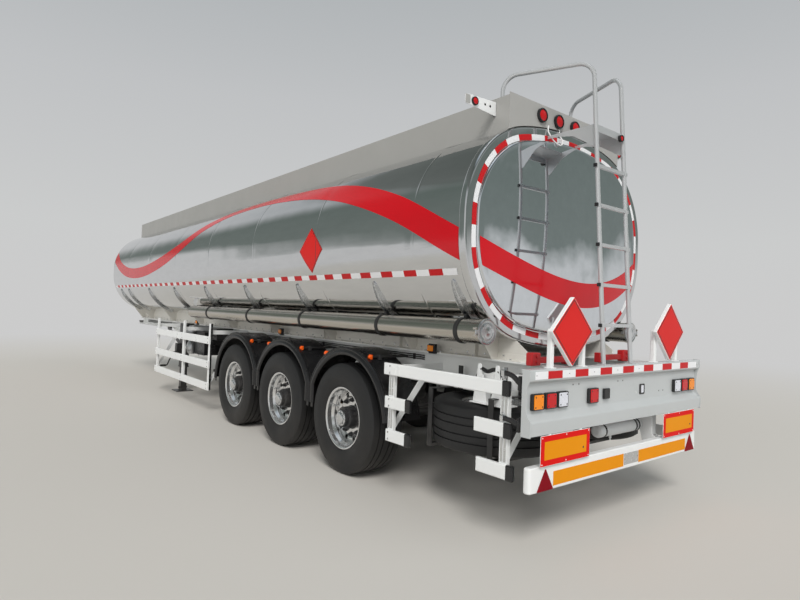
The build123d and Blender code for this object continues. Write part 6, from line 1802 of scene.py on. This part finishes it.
def bellows_form():
    """A piston, a rolled lobe, a bellows with one waist, and a bead plate: one outline turned about Z."""
    outline = [
        (0.0, 0.0), (0.0, 0.082), (0.006, 0.085), (0.060, 0.088), (0.078, 0.092), (0.088, 0.108),
        (0.100, 0.122), (0.120, 0.134), (0.150, 0.138), (0.172, 0.134), (0.183, 0.126), (0.190, 0.124),
        (0.197, 0.126), (0.208, 0.134), (0.232, 0.137), (0.250, 0.132), (0.262, 0.120), (0.270, 0.112),
    ]
    rubber = lathe(outline, (0, BEAM_Y, SPRING_LOW), Z_WAY, 40)
    plate = lathe(
        [(0.268, 0.0), (0.268, 0.113), (0.274, 0.117), (0.286, 0.117), (0.290, 0.113), (0.290, 0)],
        (0, BEAM_Y, SPRING_LOW), Z_WAY, 40,
    )
    return join(rubber.painted(0), plate.painted(1))


springs = repeated(bellows_form(), [(REAR_AXLE + AXLE_SPACING * n - SPRING_BEHIND, 0, 0) for n in range(3)])
make_piece("air_spring_dress", both_sides(springs), [STRAP_RUBBER, BLACK_PAINT], replaces=["air_springs"])

# %% Bolts at the hangers' pivots, and the brake hoses
pivots = [
    bolt_head((REAR_AXLE + AXLE_SPACING * n + 0.490, 0.692, 0.668), Y_WAY, 0.021, 0.014) for n in range(3)
]
make_piece("pivot_bolts", both_sides(join(*pivots)), [BARE_STEEL])


def brake_hose(x, side):
    """A hose that sags from the frame's web down to the brake chamber on the axle."""
    way = [
        (0.16, side * 0.56, 1.02), (0.17, side * 0.50, 0.88), (0.12, side * 0.43, 0.72),
        (0.04, side * 0.42, 0.62),
    ]
    return tube(smooth_curve(way, 24) + [x, 0, 0], 0.008, X_WAY, 8)


hoses = [brake_hose(REAR_AXLE + AXLE_SPACING * n, side) for n in range(3) for side in (1, -1)]
make_piece("brake_hoses", join(*hoses), [STRAP_RUBBER])

# %% Air line and cable run along the frame's web
line = [(REAR_AXLE + x, 0.634, 1.150) for x in (-0.55, 1.2, 3.4, 6.2, 8.9)]
runs = [tube(np.array(line) + [0, 0, shift], 0.006, Z_WAY, 8) for shift in (0.0, 0.018, -0.018)]
clips = [
    axle_block((x - 0.012, 0.624, 1.122), (x + 0.012, 0.643, 1.178), 0.002)
    for x in np.arange(-0.4, 8.8, 0.85)
]
make_piece("frame_lines", both_sides(join(*runs, *clips)), [BLACK_PAINT])

# %% Landing gear: collars, ribs, bolts, the gearbox's cover and the crank's grip
LEG_X = REAR_AXLE + 5.800


def leg_dress(side):
    """A collar where the inner leg slides, a rib, mounting bolts and the foot's pin."""
    collar = block((LEG_X - 0.071, side * 0.749, 0.428), (LEG_X + 0.071, side * 0.891, 0.452), 0.004)
    rib = block(
        (LEG_X - 0.068, side * 0.780 - 0.004, 0.50), (LEG_X + 0.068, side * 0.780 + 0.004, 0.72), 0.002
    )
    bolts = [
        bolt_head((LEG_X + x, side * 0.7555, z), (0, side, 0), 0.012)
        for x in (-0.100, 0.100)
        for z in (1.02, 1.09, 1.16)
    ]
    return join(collar, rib, *bolts, pin(-0.075, 0.075, 0.016, (LEG_X, side * 0.820, 0.062), Y_WAY))


gear_cover = join(
    slab(oblong(0.110, 0.150, 0.02), (LEG_X, 0.961, 0.760), X_WAY, Z_WAY, -0.006, 0.002),
    *[
        bolt_head((LEG_X + x, 0.955, 0.760 + z), Y_WAY, 0.008)
        for x in (-0.058, 0.058)
        for z in (-0.078, 0.078)
    ],
)
grip = lathe(
    [(0.0, 0.012), (0.0, 0.017), (0.008, 0.019), (0.092, 0.019), (0.100, 0.017), (0.100, 0.012)],
    (LEG_X + 0.320, 1.035, 0.430),
    Y_WAY,
    16,
    closed=True,
)
make_piece("leg_dress", join(leg_dress(1), leg_dress(-1), gear_cover, grip), [BLACK_PAINT])

# %% Air reservoirs: weld seams, end bosses and drains
RES_X, RES_ZS, RES_R = REAR_AXLE + 4.870, (1.104, 0.852), 0.110


def reservoir_dress(z):
    """Two weld beads, a boss in the outer end and a drain below."""
    bead = [(-0.004, RES_R - 0.002), (0.0, RES_R + 0.002), (0.004, RES_R - 0.002)]
    beads = [lathe(bead, (RES_X, y, z), Y_WAY, 48, closed=True) for y in (0.752, 1.040)]
    outline = [(0, 0), (0, 0.024), (0.010, 0.024), (0.013, 0.020), (0.013, 0.011), (0.022, 0.011), (0.022, 0)]
    boss = lathe(outline, (RES_X, 1.078, z), Y_WAY, 24)
    drain = lathe(
        [(0, 0), (0, 0.014), (0.014, 0.014), (0.014, 0.008), (0.034, 0.008), (0.034, 0)],
        (RES_X, 0.88, z - RES_R + 0.002), DOWN_WAY, 16,
    )
    return join(*beads, boss, drain)


make_piece("reservoir_dress", join(*[reservoir_dress(z) for z in RES_ZS]), [MILL_BRIGHT])

# %% Equipment boxes: lid seams and latches
box_trim = [
    axle_block((4.285, 0.9995, 1.000), (4.715, 1.0035, 1.008), 0.001),
    axle_block((4.470, 1.000, 0.960), (4.530, 1.010, 1.030), 0.003),
    axle_block((3.885, 0.9595, 1.140), (4.235, 0.9635, 1.147), 0.001),
]
make_piece("box_trim", join(*box_trim), [BLACK_GLOSS])

# %% Valve cabinet: panel rims on the door, caps with levers on the outlets
DOOR_Y = -1.2235
PRESS = 0.003


def door_trim():
    """The raised rims of the door's three pressed panels."""
    rims = []
    for x in (4.18, 4.47, 4.76):
        outer, inner = oblong(0.250, 0.470, 0.02), oblong(0.236, 0.456, 0.018)
        rings = ((outer, 0.0), (shrunk(outer, PRESS), PRESS), (shrunk(inner, -PRESS), PRESS), (inner, 0.0))
        rows = []
        for ring, depth in rings:
            y = np.full(len(ring), DOOR_Y - depth)
            rows.append(np.column_stack([REAR_AXLE + x + ring[:, 0], y, 1.000 + ring[:, 1]]))
        rims.append(grid(np.stack(rows), close_rows=True, close_columns=True))
    return join(*rims)


make_piece("door_trim", door_trim(), [MILL], body="cabinet_door")


def outlet_cap(x):
    """A dust cap over an outlet's flange with two levers folded back along the pipe."""
    centre = (REAR_AXLE + x, -1.120, 0.950)
    outline = [
        (-0.012, 0.078), (-0.012, 0.0815), (0.012, 0.0815), (0.018, 0.074), (0.018, 0.045), (0.013, 0.040),
        (0.013, 0),
    ]
    cap = lathe(outline, centre, RIGHT_WAY, 36)
    levers = [
        block((centre[0] + s * 0.078, -1.128, 0.938), (centre[0] + s * 0.090, -1.040, 0.962), 0.003)
        for s in (1, -1)
    ]
    return join(cap, *levers)


make_piece("outlet_caps", join(*[outlet_cap(x) for x in (4.170, 4.370, 4.570, 4.770)]), [MILL_BRIGHT])

# %% Manholes: ribs, a vent and a handle on each lid, bolts and a clamp on each neck
MANHOLES = (0.700, 3.050, 5.400, 7.750)
LID_TOP = 3.2825


def spun_upright(form, angles):
    """Copies of a form turned about the upright axis through the origin."""
    copies = []
    for angle in angles:
        c, s = math.cos(angle), math.sin(angle)
        turn = np.array([[c, s, 0.0], [-s, c, 0.0], [0.0, 0.0, 1.0]])
        copies.append(Form(form.points @ turn, form.groups, form.finishes))
    return join(*copies)


def lid_dress():
    """Radial ribs, a raised rim, a vent cap in the middle and a bent handle."""
    rim = lathe([(0.0, 0.262), (0.006, 0.266), (0.006, 0.274), (0.0, 0.278)], (0, 0, LID_TOP), Z_WAY, 48)
    rib = block((0.132, -0.005, LID_TOP - 0.001), (0.258, 0.005, LID_TOP + 0.008), 0.002)
    spokes = spun_upright(rib, np.arange(8) * math.pi / 4 + math.pi / 8)
    vent = lathe(
        [(0.0, 0.052), (0.010, 0.052), (0.014, 0.048), (0.014, 0.030), (0.020, 0.026), (0.020, 0)],
        (0, 0, LID_TOP + 0.0135), Z_WAY, 32,
    )
    bend = [(0.20, y, LID_TOP + up) for y, up in ((-0.05, 0.0), (-0.05, 0.034), (0.05, 0.034), (0.05, 0.0))]
    handle = tube(rounded_path(bend, 0.016, 6), 0.006, X_WAY, 10)
    return join(rim, spokes, vent, handle)


def neck_bolts():
    """A ring of bolts under the neck's flange and a toggle clamp in front of it."""
    ring = [
        bolt_head((0.272 * math.cos(a), 0.272 * math.sin(a), 3.2535), DOWN_WAY, 0.008)
        for a in np.arange(16) * math.pi / 8
    ]
    toggle = join(
        block((0.262, -0.016, 3.205), (0.290, 0.016, 3.262), 0.004),
        pin(-0.026, 0.026, 0.008, (0.284, 0, 3.225), Y_WAY, 12),
    )
    return join(*ring, toggle)


for number, x in enumerate(MANHOLES, start=1):
    make_piece(
        f"lid_dress_{number}",
        lid_dress().moved(REAR_AXLE + x, 0, 0),
        [MILL_BRIGHT],
        body=f"manhole_lid_{number}",
    )
bolts = repeated(neck_bolts(), [(REAR_AXLE + x, 0, 0) for x in MANHOLES])
make_piece("neck_bolts", bolts, [MILL_BRIGHT])

# %% Walkway: raised treads in rows beside the manholes, and the air line to them
def tread(x, y, turn):
    """A raised bar of the tread pattern, pointed at its two ends."""
    bar = np.array([(-0.027, 0.0), (0.0, -0.005), (0.027, 0.0), (0.0, 0.005)])
    return slab(turned(bar, turn), (REAR_AXLE + x, y, 3.196), X_WAY, Y_WAY, 0.0022, 0.0008)


PITCH = 0.09
base_treads = join(tread(0.0, 0.0, math.pi / 4), tread(PITCH / 2, PITCH / 2, -math.pi / 4))
spots = [(PITCH * i, PITCH * j, 0.0) for i in range(-17, 100) for j in (-8, -7, -6, -5, 4, 5, 6, 7)]
make_piece("walkway_treads", repeated(base_treads, spots), [MILL])
pipe = tube([(REAR_AXLE + x, 0.745, 3.212) for x in (-1.45, 4.0, 9.05)], 0.011, Z_WAY, 10)
make_piece("roof_line", both_sides(pipe), [BARE_STEEL])

# %% [markdown]
# ## Stage and light
#
# A mirror-bright tank shows its surroundings, so the world matters as much as the lamps. The floor and
# the backdrop are pale. A photographer stands dark flags beside polished metal, and here two soft ones,
# in the world itself, give the drum and its rear head the dark bands that make them read as polished.
# They stand out of the camera's sight: its own rays meet the plain pale world.

# %% Floor, world and lamps
# Each stop is (sine of the height above the horizon, colour).
SKY_STOPS = (
    (0.0, (0.80, 0.80, 0.80)),
    (0.12, (0.79, 0.80, 0.80)),
    (0.34, (0.70, 0.715, 0.73)),
    (0.50, (0.58, 0.61, 0.63)),
    (0.60, (0.20, 0.22, 0.21)),
    (0.84, (0.13, 0.15, 0.14)),
    (0.93, (0.58, 0.66, 0.74)),
    (1.0, (0.96, 1.0, 1.0)),
)
SKY_STRENGTH = 0.75
FLOOR_COLOR = (0.60, 0.575, 0.54, 1.0)
FADE_START, FADE_END = 6.0, 22.0
FLOOR_WIDE = 300.0
# A flag is a soft dark band: (sine of the height, how dark). One stands behind the trailer, one left of it.
REAR_FLAG = ((0.0, 0.0), (0.04, 0.10), (0.12, 0.85), (0.38, 0.90), (0.52, 0.25), (0.62, 0.0))
SIDE_FLAG = ((0.0, 0.0), (0.035, 0.0), (0.075, 0.55), (0.14, 0.88), (0.66, 0.95), (0.80, 0.0))
FLAG_COLOR = (0.16, 0.20, 0.18, 1.0)
REAR_FLAG_WAY, REAR_EDGE = (-0.86, -0.51, 0.0), 0.42
SIDE_FLAG_WAY, SIDE_EDGE = (0.75, 0.66, 0.0), 0.735
EDGE_WIDE, FLAG_UNEVEN = 0.11, 0.07


def floor_material():
    """A pale matt floor that fades into the horizon's own colour far out, so that no edge shows."""
    material, tree, shader = start_material("floor", Roughness=0.9, Specular_IOR_Level=0.0)
    away = on_vector(tree, "LENGTH", object_place(tree))
    far = remap(tree, away, FADE_START, FADE_END, interpolation_type="SMOOTHSTEP")
    tree.links.new(mix_color(tree, far, FLOOR_COLOR, (0.0, 0.0, 0.0, 1.0)), shader.inputs["Base Color"])
    shader.inputs["Emission Color"].default_value = (*SKY_STOPS[0][1], 1.0)
    tree.links.new(calculate(tree, "MULTIPLY", far, SKY_STRENGTH), shader.inputs["Emission Strength"])
    return material


def make_stage():
    """A wide pale floor, which keeps the shadow."""
    mesh = bpy.data.meshes.new("floor")
    corners = [(x, y, 0.0) for x, y in oblong(FLOOR_WIDE, FLOOR_WIDE)]
    mesh.from_pydata(corners, [], [(0, 1, 2, 3)])
    floor = bpy.data.objects.new("floor", mesh)
    bpy.context.scene.collection.objects.link(floor)
    mesh.materials.append(floor_material())


def add_flag(tree, directions, uneven, below, stops, way, edge):
    """Darken a colour by a flag: its stops over the uneven height, where the way's cosine passes the edge."""
    facing = on_vector(tree, "DOT_PRODUCT", directions, way)
    side = remap(tree, facing, edge, edge + EDGE_WIDE, interpolation_type="SMOOTHSTEP")
    return mix_color(tree, calculate(tree, "MULTIPLY", ramp(tree, uneven, stops), side), below, FLAG_COLOR)


def make_world():
    """The world's colour by the direction's height. What metal mirrors has two soft, uneven flags as well."""
    world = bpy.data.worlds.new("world")
    world.use_nodes = True
    bpy.context.scene.world = world
    tree = world.node_tree
    directions = add_node(tree, "ShaderNodeTexCoord").outputs["Generated"]
    height = add_node(tree, "ShaderNodeSeparateXYZ", {0: directions}).outputs["Z"]
    clumps = noise(tree, directions, 5.0, 4.0, 0.55)
    shift = remap(tree, clumps, NOISE_LOW, NOISE_HIGH, -FLAG_UNEVEN, FLAG_UNEVEN)
    uneven = calculate(tree, "ADD", height, shift)
    plain = ramp(tree, height, SKY_STOPS)
    color = add_flag(tree, directions, uneven, plain, REAR_FLAG, REAR_FLAG_WAY, REAR_EDGE)
    color = add_flag(tree, directions, uneven, color, SIDE_FLAG, SIDE_FLAG_WAY, SIDE_EDGE)
    seen = add_node(tree, "ShaderNodeLightPath").outputs["Is Camera Ray"]
    background = tree.nodes["Background"]
    background.inputs["Strength"].default_value = SKY_STRENGTH
    tree.links.new(mix_color(tree, seen, color, plain), background.inputs["Color"])


def add_sun(name, forward, strength, spread, color):
    """A broad sun along a direction: it lights the floor evenly, and metal doesn't mirror it as a patch."""
    data = bpy.data.lights.new(name, "SUN")
    data.energy = strength
    data.angle = math.radians(spread)
    data.color = color
    lamp = bpy.data.objects.new(name, data)
    lamp.visible_camera = False
    lamp.visible_glossy = False
    bpy.context.scene.collection.objects.link(lamp)
    forward = np.array(forward, float) / np.linalg.norm(forward)
    right = np.cross(forward, (0.0, 0.0, 1.0))
    right /= np.linalg.norm(right)
    lamp.matrix_world = looking_matrix(right, np.cross(right, forward), forward)


make_stage()
make_world()
add_sun("key", (0.62, -0.48, -0.80), 2.15, 24.0, (1.0, 0.98, 0.95))
add_sun("fill", (0.80, 0.50, -0.35), 0.75, 60.0, (0.95, 0.97, 1.0))
add_sun("side", (0.25, -0.92, -0.30), 0.70, 50.0, (1.0, 0.99, 0.97))
print("stage set")
